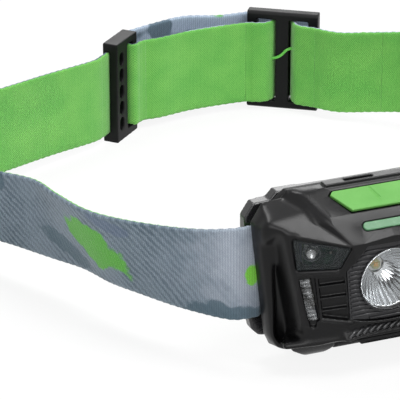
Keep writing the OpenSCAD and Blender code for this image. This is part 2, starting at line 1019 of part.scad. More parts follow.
slider_in = -slider_t / 2 - strap_gap - strap_t / 2;
slider_out = slider_t / 2 + strap_gap + strap_t / 2 + 0.15;
half_l = slider_l / 2;

right_far = [
    [slot_out + 12.4, plate_y + 4.6 * ky, -0.9, -8],
    far(48.6, 32.6, -1.4, -13),
    far(55.4, 43.6, -2, -17),
    far(63, 58, -2.6, -18),
    far(70, 74, -3.2, -17),
    far(77, 91, -4, -15),
    far(82.4, 108, -5, -12),
    far(83.6, 122, -6.4, -8),
    far(81, 135, -7.6, -4),
    far(76, 146, -8.8, -1),
    far(69.4, 151.4, -9.6, 0)];

right_end = [
    seat(slider_at, slider_a, [half_l + 9, slider_in - 3.9, back_z]),
    seat(slider_at, slider_a, [half_l + 4, slider_in - 3.4, back_z]),
    seat(slider_at, slider_a, [half_l, slider_in - 2, back_z])];

module strap_center() {
    color("slategray")
    lamp_at()
    translate([-slot_in + 2.4, strap_y - strap_t / 2, -0.4 - strap_w / 2])
        cube([2 * slot_in - 4.8, strap_t, strap_w]);
}

module strap_left() {
    color("slategray")
    lamp_at()
    band(concat(slot_run, left_far, left_end));
}

module strap_right() {
    color("slategray")
    lamp_at()
    mirror([1, 0, 0])
        band(concat(slot_run, [for (p = right_far) [-p[0], p[1], p[2], -p[3]]],
            [flip(right_end[0])]));
}

module strap_slack() {
    c = concat([right_far[len(right_far) - 2], right_far[len(right_far) - 1]], right_end,
        [seat(slider_at, slider_a, [half_l - 3, slider_in - 1.4, back_z])]);
    color("limegreen")
    lamp_at()
    mirror([1, 0, 0])
        band([for (p = c) flip(p)]);
}

weave_half = [
    [-half_l - 4, slider_in - 3],
    [-half_l, slider_in - 2],
    [-half_l + 3, slider_in - 1.4],
    [-half_l + 5.8, slider_in - 0.6],
    [-slider_bar / 2 - 1.8, slider_in + 1.2],
    [-slider_bar / 2 - 1.1, 0],
    [-slider_bar / 2 - 1.15, slider_out - 1.4],
    [-slider_bar / 2 - 0.35, slider_out - 0.1],
    [-slider_bar / 2 + 1, slider_out]];

module strap_weave() {
    w = concat(weave_half, [[0, slider_out]],
        [for (i = [len(weave_half) - 1:-1:0]) [-weave_half[i][0], weave_half[i][1]]]);
    color("limegreen")
    lamp_at()
    band(concat([far(27.4, 177.9, back_z, 0)],
        [for (i = [1:len(w) - 2]) seat(slider_at, slider_a, [w[i][0], w[i][1], back_z])],
        [right_end[1]]));
}

ring_in = -ring_t / 2 - strap_gap - strap_t / 2;
ring_out = ring_t / 2 + strap_gap + strap_t / 2;
ring_bar = 2.8;
ring_slot = 3.6;
ring_mid = ring_l / 2 - ring_bar - strap_gap - strap_t / 2;

turn_in = seat(ring_at, ring_a, [ring_l / 2 + 1.2, ring_in + 0.1, back_z]);
turn_out = seat(ring_at, ring_a, [ring_l / 2 + 1.2, ring_out + 0.5, back_z + 0.6]);

module strap_turn() {
    e = ring_l / 2 - ring_bar;
    p = [
        far(7, 175.8, back_z, 0),
        turn_in,
        seat(ring_at, ring_a, [e + 1.4, ring_in - 0.05, back_z]),
        seat(ring_at, ring_a, [e, ring_in - 0.01, back_z]),
        seat(ring_at, ring_a, [e - 0.78, ring_in + 0.33, back_z]),
        seat(ring_at, ring_a, [ring_mid - 0.03, ring_in + 1.25, back_z + 0.1]),
        seat(ring_at, ring_a, [ring_mid - 0.05, 0, back_z + 0.2]),
        seat(ring_at, ring_a, [ring_mid - 0.03, ring_out - 1.25, back_z + 0.3]),
        seat(ring_at, ring_a, [e - 0.78, ring_out - 0.33, back_z + 0.4]),
        seat(ring_at, ring_a, [e, ring_out + 0.01, back_z + 0.4]),
        seat(ring_at, ring_a, [e + 1.4, ring_out + 0.05, back_z + 0.5]),
        turn_out,
        far(9, 184.4, back_z + 1.4, 0)];
    color("limegreen")
    lamp_at()
    band(p);
}

module strap_inner_run() {
    a = seat(slider_at, slider_a, [-half_l, slider_in - 2, back_z]);
    p = [
        seat(ring_at, ring_a, [ring_l / 2 - ring_bar + 1.4, ring_in - 0.05, back_z]),
        turn_in,
        far(7, 175.8, back_z, 0),
        far(17, 177.6, back_z, 0),
        far(27.4, 177.9, back_z, 0),
        a,
        seat(slider_at, slider_a, [-half_l + 3, slider_in - 1.4, back_z])];
    color("limegreen")
    lamp_at()
    band(p);
}

module strap_outer_run() {
    p = [
        seat(ring_at, ring_a, [ring_l / 2 - ring_bar + 1.4, ring_out + 0.05, back_z + 0.5]),
        turn_out,
        far(9, 184.4, back_z + 1.4, 0),
        far(19, 185.8, back_z + 1.6, 0),
        far(29.5, 183.4, back_z + 1.2, 0),
        seat(slider_at, slider_a, [-half_l + 0.5, slider_out + 1, back_z + 0.4]),
        seat(slider_at, slider_a, [-slider_bar / 2 - 2.2, slider_out + 1.6, back_z + 0.2]),
        seat(slider_at, slider_a, [0, slider_out + strap_t + 0.2, back_z]),
        seat(slider_at, slider_a, [slider_bar / 2 + 2.6, slider_out + strap_t + 0.2, back_z]),
        seat(slider_at, slider_a, [slider_bar / 2 + 4, slider_out + strap_t + 0.2, back_z])];
    color("slategray")
    lamp_at()
    band(p);
}

module at_buckle(at, a) {
    translate([at[0], at[1], back_z])
        rotate([0, 0, a])
            children();
}

module end_ring() {
    open_h = strap_w + 2 * strap_gap + 0.9;
    color("black")
    lamp_at()
    at_buckle(ring_at, ring_a)
    difference() {
        translate([-ring_l / 2, -ring_t / 2, -buckle_h / 2])
            cube([ring_l, ring_t, buckle_h]);
        // slot for the turned band
        translate([ring_l / 2 - ring_bar - ring_slot, -ring_t, -open_h / 2 + 0.2])
            cube([ring_slot, 2 * ring_t, open_h]);
        // pocket for the end of the left band
        translate([-ring_l, 1.1 - strap_t / 2 - 0.15, -strap_w / 2 - 0.2])
            cube([ring_l - 2.6, strap_t + 0.3, strap_w + 0.4]);
        // five oval windows in the flat bar
        for (k = [-2:2])
            translate([-ring_l / 2 + 3.1, -ring_t, k * 5.2])
                rotate([-90, 0, 0])
                    linear_extrude(ring_t + 0.6)
                        rotate(90)
                            pill(4.2, 2.6);
    }
}

module slider() {
    open_h = strap_w + 2 * strap_gap + 0.5;
    slot_l = (slider_l - slider_bar - 6) / 2;
    color("black")
    lamp_at()
    at_buckle(slider_at, slider_a)
    difference() {
        translate([-slider_l / 2, -slider_t / 2, -buckle_h / 2])
            cube([slider_l, slider_t, buckle_h]);
        both_sides()
            translate([slider_bar / 2, -slider_t, -open_h / 2])
                cube([slot_l, 2 * slider_t, open_h]);
        // bevelled top and bottom rails
        for (s = [-1, 1])
            translate([0, -slider_t / 2, s * buckle_h / 2])
                rotate([45, 0, 0])
                    cube([3 * slider_l, 1, 1], center = true);
    }
}

front_housing();
rear_cover();
housing_seal();
cover_screws();
lens_panel();
main_lens();
reflector();
main_led();
led_board();
left_window();
right_window();
window_leds();
left_side_lens();
right_side_lens();
side_leds();
label_strip();
power_button();
button_switch();
battery();
usb_socket();
usb_cover();
bracket();
hinge_pin();
click_spring();
forehead_pad();
strap_center();
strap_left();
strap_right();
strap_slack();
strap_weave();
strap_inner_run();
strap_turn();
strap_outer_run();
end_ring();
slider();
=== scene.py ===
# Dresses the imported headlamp: moulded shells, clear optics, a woven elastic band and soft studio light.
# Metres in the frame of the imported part: the lamp faces -Y, +Z is up and the floor is at Z = 0.
import math

import bmesh
import bpy
import numpy as np
from mathutils import Matrix, Vector
from mathutils.bvhtree import BVHTree


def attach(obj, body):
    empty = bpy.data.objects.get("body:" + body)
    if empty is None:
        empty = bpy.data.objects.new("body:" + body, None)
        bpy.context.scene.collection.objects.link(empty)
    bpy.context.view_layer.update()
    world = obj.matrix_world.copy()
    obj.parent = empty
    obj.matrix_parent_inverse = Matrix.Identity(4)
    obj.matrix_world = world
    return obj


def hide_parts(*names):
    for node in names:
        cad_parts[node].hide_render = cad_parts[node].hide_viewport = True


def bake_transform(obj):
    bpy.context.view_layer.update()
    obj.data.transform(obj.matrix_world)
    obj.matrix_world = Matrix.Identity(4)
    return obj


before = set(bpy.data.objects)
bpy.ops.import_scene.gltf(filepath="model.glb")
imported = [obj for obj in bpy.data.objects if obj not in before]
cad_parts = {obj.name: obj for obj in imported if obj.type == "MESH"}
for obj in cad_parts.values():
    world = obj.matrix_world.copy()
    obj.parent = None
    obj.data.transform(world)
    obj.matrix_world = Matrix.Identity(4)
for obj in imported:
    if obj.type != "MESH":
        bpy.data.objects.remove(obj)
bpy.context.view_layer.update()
scene = bpy.context.scene

MM = 0.001
LENS_AT = np.array([0.0, -93.5, 26.5])   # middle of the main lens, mm


def tone(*display):
    """A colour written as three display values, 0 to 255."""
    linear = (((c / 255 + 0.055) / 1.055) ** 2.4 if c > 10 else c / 255 / 12.92 for c in display)
    return (*linear, 1.0)


def shaded(colour, share, lift=0.0):
    """A colour made darker or paler."""
    return (*(min(1.0, share * c + lift) for c in colour[:3]), 1.0)


# Finishes

def connect(tree, node, inputs):
    """Sets a node's inputs, or links those that come from another node."""
    for key, value in inputs.items():
        if isinstance(value, bpy.types.NodeSocket):
            tree.links.new(value, node.inputs[key])
        else:
            node.inputs[key].default_value = value


def add(tree, kind, inputs=None, **props):
    """A node with its settings, and its inputs set or linked."""
    own = kind.startswith(("Geometry", "NodeGroup"))
    node = tree.nodes.new(kind if own else "ShaderNode" + kind)
    for key, value in props.items():
        setattr(node, key, value)
    connect(tree, node, inputs or {})
    return node


def calc(tree, how, a, b=0.0):
    return add(tree, "Math", {0: a, 1: b}, operation=how).outputs[0]


def plus(tree, a, b):
    return calc(tree, "ADD", a, b)


def minus(tree, a, b):
    return calc(tree, "SUBTRACT", a, b)


def times(tree, a, b):
    return calc(tree, "MULTIPLY", a, b)


def ripple(tree, value, pitch):
    """A sine of the value, one turn to each pitch."""
    return calc(tree, "SINE", times(tree, value, 2 * math.pi / pitch))


def ramp(tree, value, low, high, to_low=0.0, to_high=1.0, smooth=False):
    node = add(tree, "MapRange", {"Value": value, "From Min": low, "From Max": high, "To Min": to_low,
                                  "To Max": to_high}, interpolation_type="SMOOTHSTEP" if smooth else "LINEAR")
    return node.outputs["Result"]


def mix(tree, fac, a, b):
    return add(tree, "Mix", {0: fac, 6: a, 7: b}, data_type="RGBA").outputs[2]


def noise(tree, vector, scale, detail=2.0, rough=0.5):
    node = add(tree, "TexNoise", {"Vector": vector, "Scale": scale, "Detail": detail, "Roughness": rough})
    return node.outputs["Fac"]


def new_finish(name):
    """A new material, its node tree and its shader."""
    material = bpy.data.materials.new(name)
    material.use_nodes = True
    return material, material.node_tree, material.node_tree.nodes["Principled BSDF"]


def surface(name):
    """A new finish with the place on the piece, for patterns that stay on it."""
    material, tree, shader = new_finish(name)
    return material, tree, shader, add(tree, "TexCoord").outputs["Object"]


def bump(tree, shader, height, distance, strength=1.0):
    node = add(tree, "Bump", {"Height": height, "Distance": distance, "Strength": strength})
    connect(tree, shader, {"Normal": node.outputs["Normal"]})


def moulded_plastic(name, colour, rough, grain=0.00002, shine=0.35, wear_and_highlight=0.5):
    """Satin moulded plastic: fine spark texture, uneven gloss, edges painted a little paler, partly as wear
    and partly as painted highlight.
    """
    material, tree, shader, at = surface(name)
    broad = noise(tree, at, 90, 3)
    fine = noise(tree, at, 3200, 2, 0.6)
    edge = add(tree, "Attribute", attribute_name="edge").outputs["Fac"]
    rubbed_and_lit = times(tree, edge, times(tree, ramp(tree, broad, 0.35, 0.7), wear_and_highlight))
    body = mix(tree, ramp(tree, broad, 0.3, 0.7), shaded(colour, 0.86), shaded(colour, 1.14))
    gloss = plus(tree, ramp(tree, broad, 0.3, 0.7, rough - 0.04, rough + 0.05),
                 times(tree, ramp(tree, fine, 0.3, 0.7), 0.05))
    # edges painted paler: part wear, part painted highlight
    connect(tree, shader, {"Base Color": mix(tree, rubbed_and_lit, body, shaded(colour, 2.6, 0.012)),
                           "Roughness": minus(tree, gloss, times(tree, rubbed_and_lit, 0.08)),
                           "Specular IOR Level": shine})
    bump(tree, shader, fine, grain)
    return material


def clouded(name, scale, tones, gloss, span=(0.3, 0.7), gloss_span=(0.3, 0.7), inputs=None, detail=3,
            grain=0):
    """A surface between two tones and two roughnesses, both uneven in the same soft clouds."""
    material, tree, shader, at = surface(name)
    cloud = noise(tree, at, scale, detail)
    connect(tree, shader, {"Base Color": mix(tree, ramp(tree, cloud, *span), *tones),
                           "Roughness": ramp(tree, cloud, *gloss_span, *gloss)})
    connect(tree, shader, inputs or {})
    if grain:
        bump(tree, shader, cloud, grain)
    return material


def clear_plastic():
    """Polished clear plastic with faint smears."""
    water = (0.97, 0.985, 0.99, 1)
    return clouded("clear_lens", 260, (water, shaded(water, 0.96)), (0.02, 0.05), (0.3, 0.8), (0.45, 0.8),
                   {"Transmission Weight": 1.0, "IOR": 1.46})


def smoked_plastic():
    """Dark tinted window, clear enough to show the light behind it."""
    return clouded("smoked_window", 240, (tone(56, 61, 62), tone(70, 75, 76)), (0.16, 0.24),
                   gloss_span=(0.4, 0.8), inputs={"Alpha": 0.28, "Specular IOR Level": 0.2})


def clear_ribs():
    """Clear ribbed plastic over a dark slot: mostly gloss, the lights behind it showing through."""
    return clouded("clear_ribs", 420, (tone(22, 23, 24), tone(150, 153, 155)), (0.08, 0.18), (0.42, 0.62),
                   (0.4, 0.8), {"Alpha": 0.4, "Specular IOR Level": 1.0})


def pill_green():
    """Clear green moulded strip over a pale backing."""
    return clouded("clear_green_strip", 220, (tone(78, 122, 88), tone(94, 136, 102)), (0.2, 0.3),
                   inputs={"Specular IOR Level": 0.2})


def painted(name, colour, rough, scale=300, spread=0.2, shine=0.5):
    """Plain coloured surface with a little unevenness."""
    tones = shaded(colour, 1 - spread), shaded(colour, 1 + spread)
    return clouded(name, scale, tones, (rough - 0.06, rough + 0.06), inputs={"Specular IOR Level": shine},
                   detail=4, grain=0.00002)


def soft_green():
    """Soft-touch green of the power button."""
    material, tree, shader, at = surface("soft_touch_green")
    broad = noise(tree, at, 140, 3)
    fine = noise(tree, at, 2600, 2)
    body = mix(tree, ramp(tree, broad, 0.3, 0.7), tone(88, 150, 68), tone(98, 158, 77))
    connect(tree, shader, {"Base Color": body, "Roughness": ramp(tree, fine, 0.3, 0.7, 0.46, 0.6),
                           "Specular IOR Level": 0.3})
    bump(tree, shader, fine, 0.00003)
    return material


def metal(name, colour, rough, scale, stretch=(1, 1, 1), depth=0.000006):
    """Plated or brushed metal; stretch draws the marks out along one axis, depth is how far they are cut."""
    material, tree, shader, at = surface(name)
    drawn = add(tree, "Mapping", {"Vector": at, "Scale": stretch}).outputs[0]
    marks = noise(tree, drawn, scale, 4, 0.6)
    connect(tree, shader, {"Base Color": mix(tree, ramp(tree, marks, 0.3, 0.7), shaded(colour, 0.88), colour),
                           "Roughness": ramp(tree, marks, 0.3, 0.7, rough * 0.8, rough * 1.25),
                           "Metallic": 1.0})
    bump(tree, shader, marks, depth)
    return material


# pitches of the band's weave, mm: threads across, threads along, slanted stripes and knit columns
PICK_PITCH, END_PITCH, STRIPE_PITCH, COLUMN_PITCH = 0.62, 0.78, 1.9, 0.66
STRIPE_SLANT = math.radians(50)
# places along the band, mm: stripes come up, noise takes over from set patches, the outer run begins and is
# painted paler as painted light
STRIPES_RISE, DARK_BY_NOISE, GREEN_BY_NOISE, OUTER_RUN_PAINTED_LIGHT = (12, 30), (104, 108), (112, 116), (652, 656)
# patches of the band: middle and half sizes along and across it in mm, turn in degrees
DARK_PATCHES = (((18, -12.2), (11.5, 3.8), 4), ((73, -6.2), (10.5, 3.4), 24), ((98, 10), (7, 4), -20))
PALE_PATCH = (13, 2.5), (10, 13), -12
BLUE_PATCH = (51, 10), (6.5, 2.2), 12
GREEN_PATCH = (58.5, 1.0), (11, 7.2), 38
# the green spot by the shell is a real green spot, painted paler than the green patch as painted light
# against the shell's shade
GREEN_SPOT_PAINTED_LIT = (10.5, -0.4), (2.4, 2.8), 0


def blotch(tree, at, wobble, middle, half, turn, soft=0.1):
    """1 inside a ragged oval on the band, 0 outside; soft is the width of its edge."""
    oval = add(tree, "Mapping", {"Vector": at, "Location": (*middle, 0), "Scale": (*half, 1),
                                 "Rotation": (0, 0, math.radians(turn))}, vector_type="TEXTURE").outputs[0]
    away = add(tree, "VectorMath", {0: oval}, operation="LENGTH").outputs["Value"]
    return ramp(tree, plus(tree, away, wobble), 1 - soft, 1 + soft, 1, 0, True)


def band_ground(name):
    """Shared start of both band faces: place on the band in mm, and a woven height."""
    material, tree, shader = new_finish(name)
    along = add(tree, "Attribute", attribute_name="along").outputs["Fac"]
    across = add(tree, "Attribute", attribute_name="across").outputs["Fac"]
    at = add(tree, "CombineXYZ", {"X": along, "Y": across}).outputs[0]
    weave = times(tree, ripple(tree, along, PICK_PITCH), ripple(tree, across, END_PITCH))
    fuzz = noise(tree, at, 5.5, 4, 0.65)
    bump(tree, shader, plus(tree, times(tree, weave, 0.5), times(tree, fuzz, 1.6)), 0.00007, 0.8)
    connect(tree, shader, {"Roughness": 0.86, "Specular IOR Level": 0.2, "Sheen Weight": 0.25,
                           "Sheen Roughness": 0.45})
    return material, tree, shader, along, across, at, weave, fuzz


def camo_face():
    """Grey band face: slanted stripes, heather flecks and ragged camouflage patches, with the outer run and
    the green spot by the shell painted paler as painted light.
    """
    material, tree, shader, along, across, at, weave, fuzz = band_ground("band_camo_weave")
    ragged = minus(tree, fuzz, 0.5)
    line = minus(tree, times(tree, along, math.sin(STRIPE_SLANT)),
                 times(tree, across, math.cos(STRIPE_SLANT)))
    drift = plus(tree, times(tree, noise(tree, at, 0.1, 2), 2.5), times(tree, noise(tree, at, 0.9, 3), 1.5))
    stripe = plus(tree, ripple(tree, plus(tree, line, drift), STRIPE_PITCH), times(tree, ragged, 3.0))
    stripe = ramp(tree, stripe, -1.2, 1.2, 0, 1, True)
    patchy = ramp(tree, noise(tree, at, 0.09, 2), 0.35, 0.65, 0.4, 0.95)
    patchy = times(tree, patchy, ramp(tree, along, *STRIPES_RISE, 0.45, 1))
    ground = mix(tree, times(tree, stripe, patchy), tone(114, 128, 139), tone(66, 83, 96))
    haze = ramp(tree, noise(tree, at, 0.05, 2), 0.4, 0.7)
    ground = mix(tree, times(tree, haze, 0.3), ground, tone(138, 149, 161))
    wobble = times(tree, minus(tree, noise(tree, at, 0.16, 3), 0.5), 1.5)
    wobble = plus(tree, wobble, times(tree, ragged, 0.5))
    pale = blotch(tree, at, wobble, *PALE_PATCH, soft=0.8)
    ground = mix(tree, times(tree, pale, 0.75), ground, tone(168, 175, 187))
    # painted light: the outer run is painted paler, as if lit
    ground = mix(tree, times(tree, ramp(tree, along, *OUTER_RUN_PAINTED_LIGHT), 0.7), ground, tone(170, 186, 206))
    dark = times(tree, ramp(tree, along, *DARK_BY_NOISE),
                 ramp(tree, noise(tree, at, 0.055, 2), 0.575, 0.595))
    for patch in DARK_PATCHES:
        dark = calc(tree, "MAXIMUM", dark, blotch(tree, at, wobble, *patch))
    ground = mix(tree, times(tree, dark, 0.8), ground, tone(66, 88, 100))
    blue = blotch(tree, at, wobble, *BLUE_PATCH)
    ground = mix(tree, times(tree, blue, 0.5), ground, tone(84, 98, 124))
    aside = add(tree, "Mapping", {"Vector": at, "Location": (40, 9, 3)}).outputs[0]
    green = times(tree, ramp(tree, along, *GREEN_BY_NOISE),
                  ramp(tree, noise(tree, aside, 0.06, 2), 0.66, 0.68))
    green = calc(tree, "MAXIMUM", green, blotch(tree, at, wobble, *GREEN_PATCH))
    ground = mix(tree, green, ground, tone(84, 160, 56))
    # painted light: the spot's paler green stands in for light in the shell's shade
    ground = mix(tree, blotch(tree, at, wobble, *GREEN_SPOT_PAINTED_LIT), ground, tone(124, 202, 70))
    flecks = ramp(tree, fuzz, 0.3, 0.72, 0.6, 1.44)
    columns = ramp(tree, ripple(tree, along, COLUMN_PITCH), -1, 1, 0.88, 1.1)
    shade = times(tree, times(tree, flecks, columns), ramp(tree, weave, -1, 1, 0.94, 1.06))
    toned = add(tree, "HueSaturation", {"Color": ground, "Value": shade}).outputs[0]
    connect(tree, shader, {"Base Color": toned})
    return material


def green_face():
    """Green band face: plain weave with painted shade in the gaps between the threads and painted highlights
    on its fuzz.
    """
    material, tree, shader, along, across, at, weave, fuzz = band_ground("band_green_weave")
    broad = noise(tree, at, 0.11, 3)
    ground = mix(tree, ramp(tree, broad, 0.35, 0.7), tone(101, 173, 78), tone(120, 187, 88))
    # painted shade in the gaps between the threads
    painted_gap_shade = ramp(tree, plus(tree, times(tree, weave, 0.25), fuzz), 0.3, 0.54, 0.8, 0)
    ground = mix(tree, painted_gap_shade, ground, tone(58, 128, 54))
    # painted highlights on the fuzz
    painted_fuzz_highlight = ramp(tree, fuzz, 0.52, 0.74, 0, 0.8)
    connect(tree, shader, {"Base Color": mix(tree, painted_fuzz_highlight, ground, tone(146, 210, 112))})
    return material


KNIT_ROW, KNIT_COLUMN = 0.0009, 0.0007   # pitches of the pad's knit, m


def knit_foam():
    """Dark knit face over foam: small loops in rows."""
    material, tree, shader, at = surface("pad_knit")
    place = add(tree, "SeparateXYZ", {0: at})
    rows = ripple(tree, place.outputs["Z"], KNIT_ROW)
    loops = times(tree, rows, ripple(tree, place.outputs["X"], KNIT_COLUMN))
    height = plus(tree, loops, noise(tree, at, 2600, 3))
    body = mix(tree, ramp(tree, height, -0.6, 1.6), tone(26, 27, 29), tone(62, 64, 67))
    connect(tree, shader, {"Base Color": body, "Roughness": 0.95, "Sheen Weight": 0.3})
    bump(tree, shader, height, 0.00012)
    return material


def board_green():
    """Circuit board: solder mask with pale tracks and pads."""
    material, tree, shader, at = surface("board_mask")
    cells = add(tree, "TexVoronoi", {"Vector": at, "Scale": 420}, distance="CHEBYCHEV")
    pads = ramp(tree, cells.outputs["Distance"], 0.12, 0.16, 1, 0)
    tracks = ramp(tree, noise(tree, at, 500, 1), 0.49, 0.51)
    ground = mix(tree, tracks, tone(20, 66, 40), tone(28, 84, 52))
    connect(tree, shader, {"Base Color": mix(tree, pads, ground, tone(196, 190, 170)), "Metallic": pads,
                           "Roughness": 0.35})
    bump(tree, shader, pads, 0.00004)
    return material


# the shell's edges are painted paler than wear alone would make them: painted highlight on its lips and fins
SHELL = moulded_plastic("shell_plastic", tone(11, 11, 12), 0.3, shine=0.21, wear_and_highlight=0.8)
COVER = moulded_plastic("cover_plastic", tone(14, 14, 15), 0.46, shine=0.14)
BRACKET = moulded_plastic("bracket_plastic", tone(26, 26, 28), 0.24, shine=0.5)
BUCKLE = moulded_plastic("buckle_plastic", tone(17, 17, 18), 0.42, shine=0.14)
PANEL = moulded_plastic("panel_plastic", tone(40, 40, 42), 0.34, grain=0.00001, shine=0.34)
# the chin ridges are the shell's black plastic painted paler: a painted highlight along the ridges
RIDGE_PAINTED_LIT = moulded_plastic("ridge_plastic_painted_highlight", tone(46, 46, 48), 0.28, grain=0.00001, shine=0.6)
RUBBER = moulded_plastic("port_rubber", tone(22, 22, 23), 0.62, grain=0.00004, shine=0.25)
SEAL = painted("seal_rubber", tone(20, 20, 20), 0.7, shine=0.2)
CLEAR = clear_plastic()
SMOKE = smoked_plastic()
BOWL = metal("bright_bowl", (0.56, 0.57, 0.58, 1), 0.08, 500, depth=0.000002)
SILVER = metal("silvered_core", (0.9, 0.91, 0.92, 1), 0.12, 900, depth=0.000002)
RIBBED = clear_ribs()
CUP = metal("dark_cup", (0.22, 0.23, 0.24, 1), 0.2, 1500)
STEEL = metal("turned_steel", (0.60, 0.60, 0.61, 1), 0.24, 2500, (0.05, 1, 1))
SCREW = metal("screw_steel", (0.50, 0.50, 0.51, 1), 0.3, 2600)
SOCKET = metal("socket_plate", (0.66, 0.66, 0.67, 1), 0.28, 2600, (1, 1, 0.1))
WHITE = painted("led_resin", tone(226, 226, 220), 0.3, 900, 0.06)
PHOSPHOR = painted("led_phosphor", tone(206, 202, 132), 0.35, 2500, 0.12)
DIE = painted("led_die", tone(226, 172, 74), 0.3, 2500, 0.12)
CERAMIC = painted("led_ceramic", tone(208, 208, 204), 0.4, 1500, 0.06)
SWITCH = painted("switch_plastic", tone(24, 24, 25), 0.5)
CELL = painted("cell_wrap", tone(70, 92, 150), 0.3, 160, 0.14)
BOARD = board_green()
CAMO = camo_face()
GREEN = green_face()
BUTTON = soft_green()
STRIP = pill_green()
KNIT = knit_foam()
YARN = painted("loose_yarn", tone(108, 190, 86), 0.8, 2400, 0.18, 0.2)
STITCH = painted("stitch_yarn", tone(58, 60, 62), 0.8, 2400, 0.25, 0.2)


# Ways of making a piece

def piece(name, mesh, body, slot, nodes, *materials):
    """A finished mesh, riding on a body in place of CAD nodes."""
    made = bpy.data.objects.new(name, mesh)
    scene.collection.objects.link(made)
    if materials and len(mesh.materials):
        mesh.materials.clear()
    for material in materials:
        mesh.materials.append(material)
    if body:
        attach(made, body)
    if nodes:
        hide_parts(*nodes)
    return made


def mesh_of(name, verts, faces):
    mesh = bpy.data.meshes.new(name)
    mesh.from_pydata([tuple(v) for v in verts], [], faces)
    mesh.update()
    return mesh


def baked(data, dress=None):
    """A plain mesh from a mesh or curve, after the modifiers that dress puts on its holder."""
    holder = bpy.data.objects.new("holder", data)
    scene.collection.objects.link(holder)
    if dress:
        dress(holder)
    graph = bpy.context.evaluated_depsgraph_get()
    mesh = bpy.data.meshes.new_from_object(holder.evaluated_get(graph))
    holder.modifiers.clear()
    bpy.data.objects.remove(holder)
    return mesh


def modified(mesh, kind, **settings):
    """The mesh after one modifier with these settings."""
    def dress(holder):
        modifier = holder.modifiers.new(kind, kind)
        for key, value in settings.items():
            setattr(modifier, key, value)
    return baked(mesh, dress)


def rounded_shading(mesh):
    mesh.polygons.foreach_set("use_smooth", np.ones(len(mesh.polygons), bool))


def mesh_from(work, name):
    """A new mesh from a working copy, which is freed."""
    mesh = bpy.data.meshes.new(name)
    work.to_mesh(mesh)
    work.free()
    return mesh


MERGE_NODE, MERGE_PIECE = 2e-6, 1e-7   # points closer than this are one, m


def merged_copy(node):
    work = bmesh.new()
    work.from_mesh(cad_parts[node].data)
    bmesh.ops.remove_doubles(work, verts=work.verts, dist=MERGE_NODE)
    return work


def turned_outward(mesh, merge=None):
    """The mesh with its faces turned outward, and before that its doubles merged if asked."""
    work = bmesh.new()
    work.from_mesh(mesh)
    if merge:
        bmesh.ops.remove_doubles(work, verts=work.verts, dist=merge)
    bmesh.ops.recalc_face_normals(work, faces=work.faces)
    work.to_mesh(mesh)
    work.free()
    mesh.update()
    return mesh


def coords(mesh):
    co = np.empty(len(mesh.vertices) * 3)
    mesh.vertices.foreach_get("co", co)
    return co.reshape(-1, 3)


EASE, MELT_PASSES = 0.55, 110   # how far a pass draws a point to its neighbours, passes where edges melt
# in voxels from the CAD face: where a point is let go, over what width, where an edge is fully painted paler
# for wear and painted highlight
HOLD_GAP, HOLD_FADE, PALE_EDGE_GAP = 0.3, 0.2, 0.45


def softened(node, name, voxel, passes, triangles, melt=None):
    """A CAD node's own shape with moulded edges: flats stay on the node's faces, corners turn round.

    melt gives, for points in mm, how far (0 to 1) the edges there flow into large soft curves.
    """
    work = merged_copy(node)
    for v in work.verts:
        v.co *= 1 / MM
    tree = BVHTree.FromBMesh(work)
    mesh = modified(mesh_from(work, name), "REMESH", mode="VOXEL", voxel_size=voxel, adaptivity=0.0)
    co = coords(mesh)
    pairs = np.empty(len(mesh.edges) * 2, np.int64)
    mesh.edges.foreach_get("vertices", pairs)
    a, b = pairs[0::2], pairs[1::2]
    count = np.bincount(a, minlength=len(co)) + np.bincount(b, minlength=len(co))
    soft = melt(co) if melt else np.zeros(len(co))
    for step in range(passes + (MELT_PASSES if melt else 0)):
        total = np.zeros_like(co)
        for k in range(3):
            total[:, k] = np.bincount(a, co[b, k], len(co)) + np.bincount(b, co[a, k], len(co))
        share = np.full(len(co), EASE) if step < passes else EASE * soft
        co += share[:, None] * (total / count[:, None] - co)
    near = np.array([tree.find_nearest(p)[0] for p in co])
    gap = np.linalg.norm(near - co, axis=1)
    hold = np.clip((HOLD_GAP * voxel - gap) / (HOLD_FADE * voxel), 0, 1) * (1 - soft)
    co += hold[:, None] * (near - co)
    mesh.vertices.foreach_set("co", co.ravel())
    mesh.update()
    kept = triangles / max(1, 2 * len(mesh.polygons))
    if kept < 1:
        mesh = modified(mesh, "DECIMATE", decimate_type="COLLAPSE", ratio=kept)
    co = coords(mesh)
    gap = np.array([tree.find_nearest(p)[3] for p in co])
    # how far each edge is painted paler, for wear and painted highlight
    rubbed_and_lit = np.clip(gap / (PALE_EDGE_GAP * voxel), 0, 1) * (1 - (melt(co) if melt else 0))
    edge = mesh.attributes.new("edge", "FLOAT", "POINT")
    edge.data.foreach_set("value", rubbed_and_lit.astype(np.float32))
    mesh.vertices.foreach_set("co", (co * MM).ravel())
    rounded_shading(mesh)
    mesh.update()
    mesh.name = name
    return mesh


def edged(node, name, width, clear):
    """A CAD node's own shape with rolled edges, for plain solids, drawn in all round by clear mm."""
    work = merged_copy(node)
    bmesh.ops.dissolve_limit(work, angle_limit=math.radians(2), verts=work.verts, edges=work.edges)
    mesh = modified(mesh_from(work, name), "BEVEL", width=width * MM, segments=3, limit_method="ANGLE",
                    angle_limit=math.radians(30), use_clamp_overlap=True)
    mesh.name = name
    outward = np.empty(3 * len(mesh.vertices), np.float32)
    mesh.vertices.foreach_get("normal", outward)
    drawn_in = coords(mesh) - clear * MM * outward.reshape(-1, 3)
    mesh.vertices.foreach_set("co", drawn_in.astype(np.float32).ravel())
    return mesh


def rise(value, low, high):
    """0 below low, 1 above high, smooth between."""
    t = np.clip((value - low) / (high - low), 0, 1)
    return t * t * (3 - 2 * t)


def shell_melt(co):
    """Soft zones of the shell in mm: its shoulders, rim and lower corners, clear of the openings."""
    x, y, z = (co - LENS_AT).T
    wide = np.abs(x)
    shoulder = rise(wide, 14.5, 16.5) * rise(z, 15.2, 17)
    rim = rise(wide, 23.2, 24.6)
    corner = rise(wide, 11.2, 12.6) * rise(-z, 11.6, 12.6)
    return np.maximum(np.maximum(shoulder, rim), corner) * rise(16.6 - y, 0, 0.6)


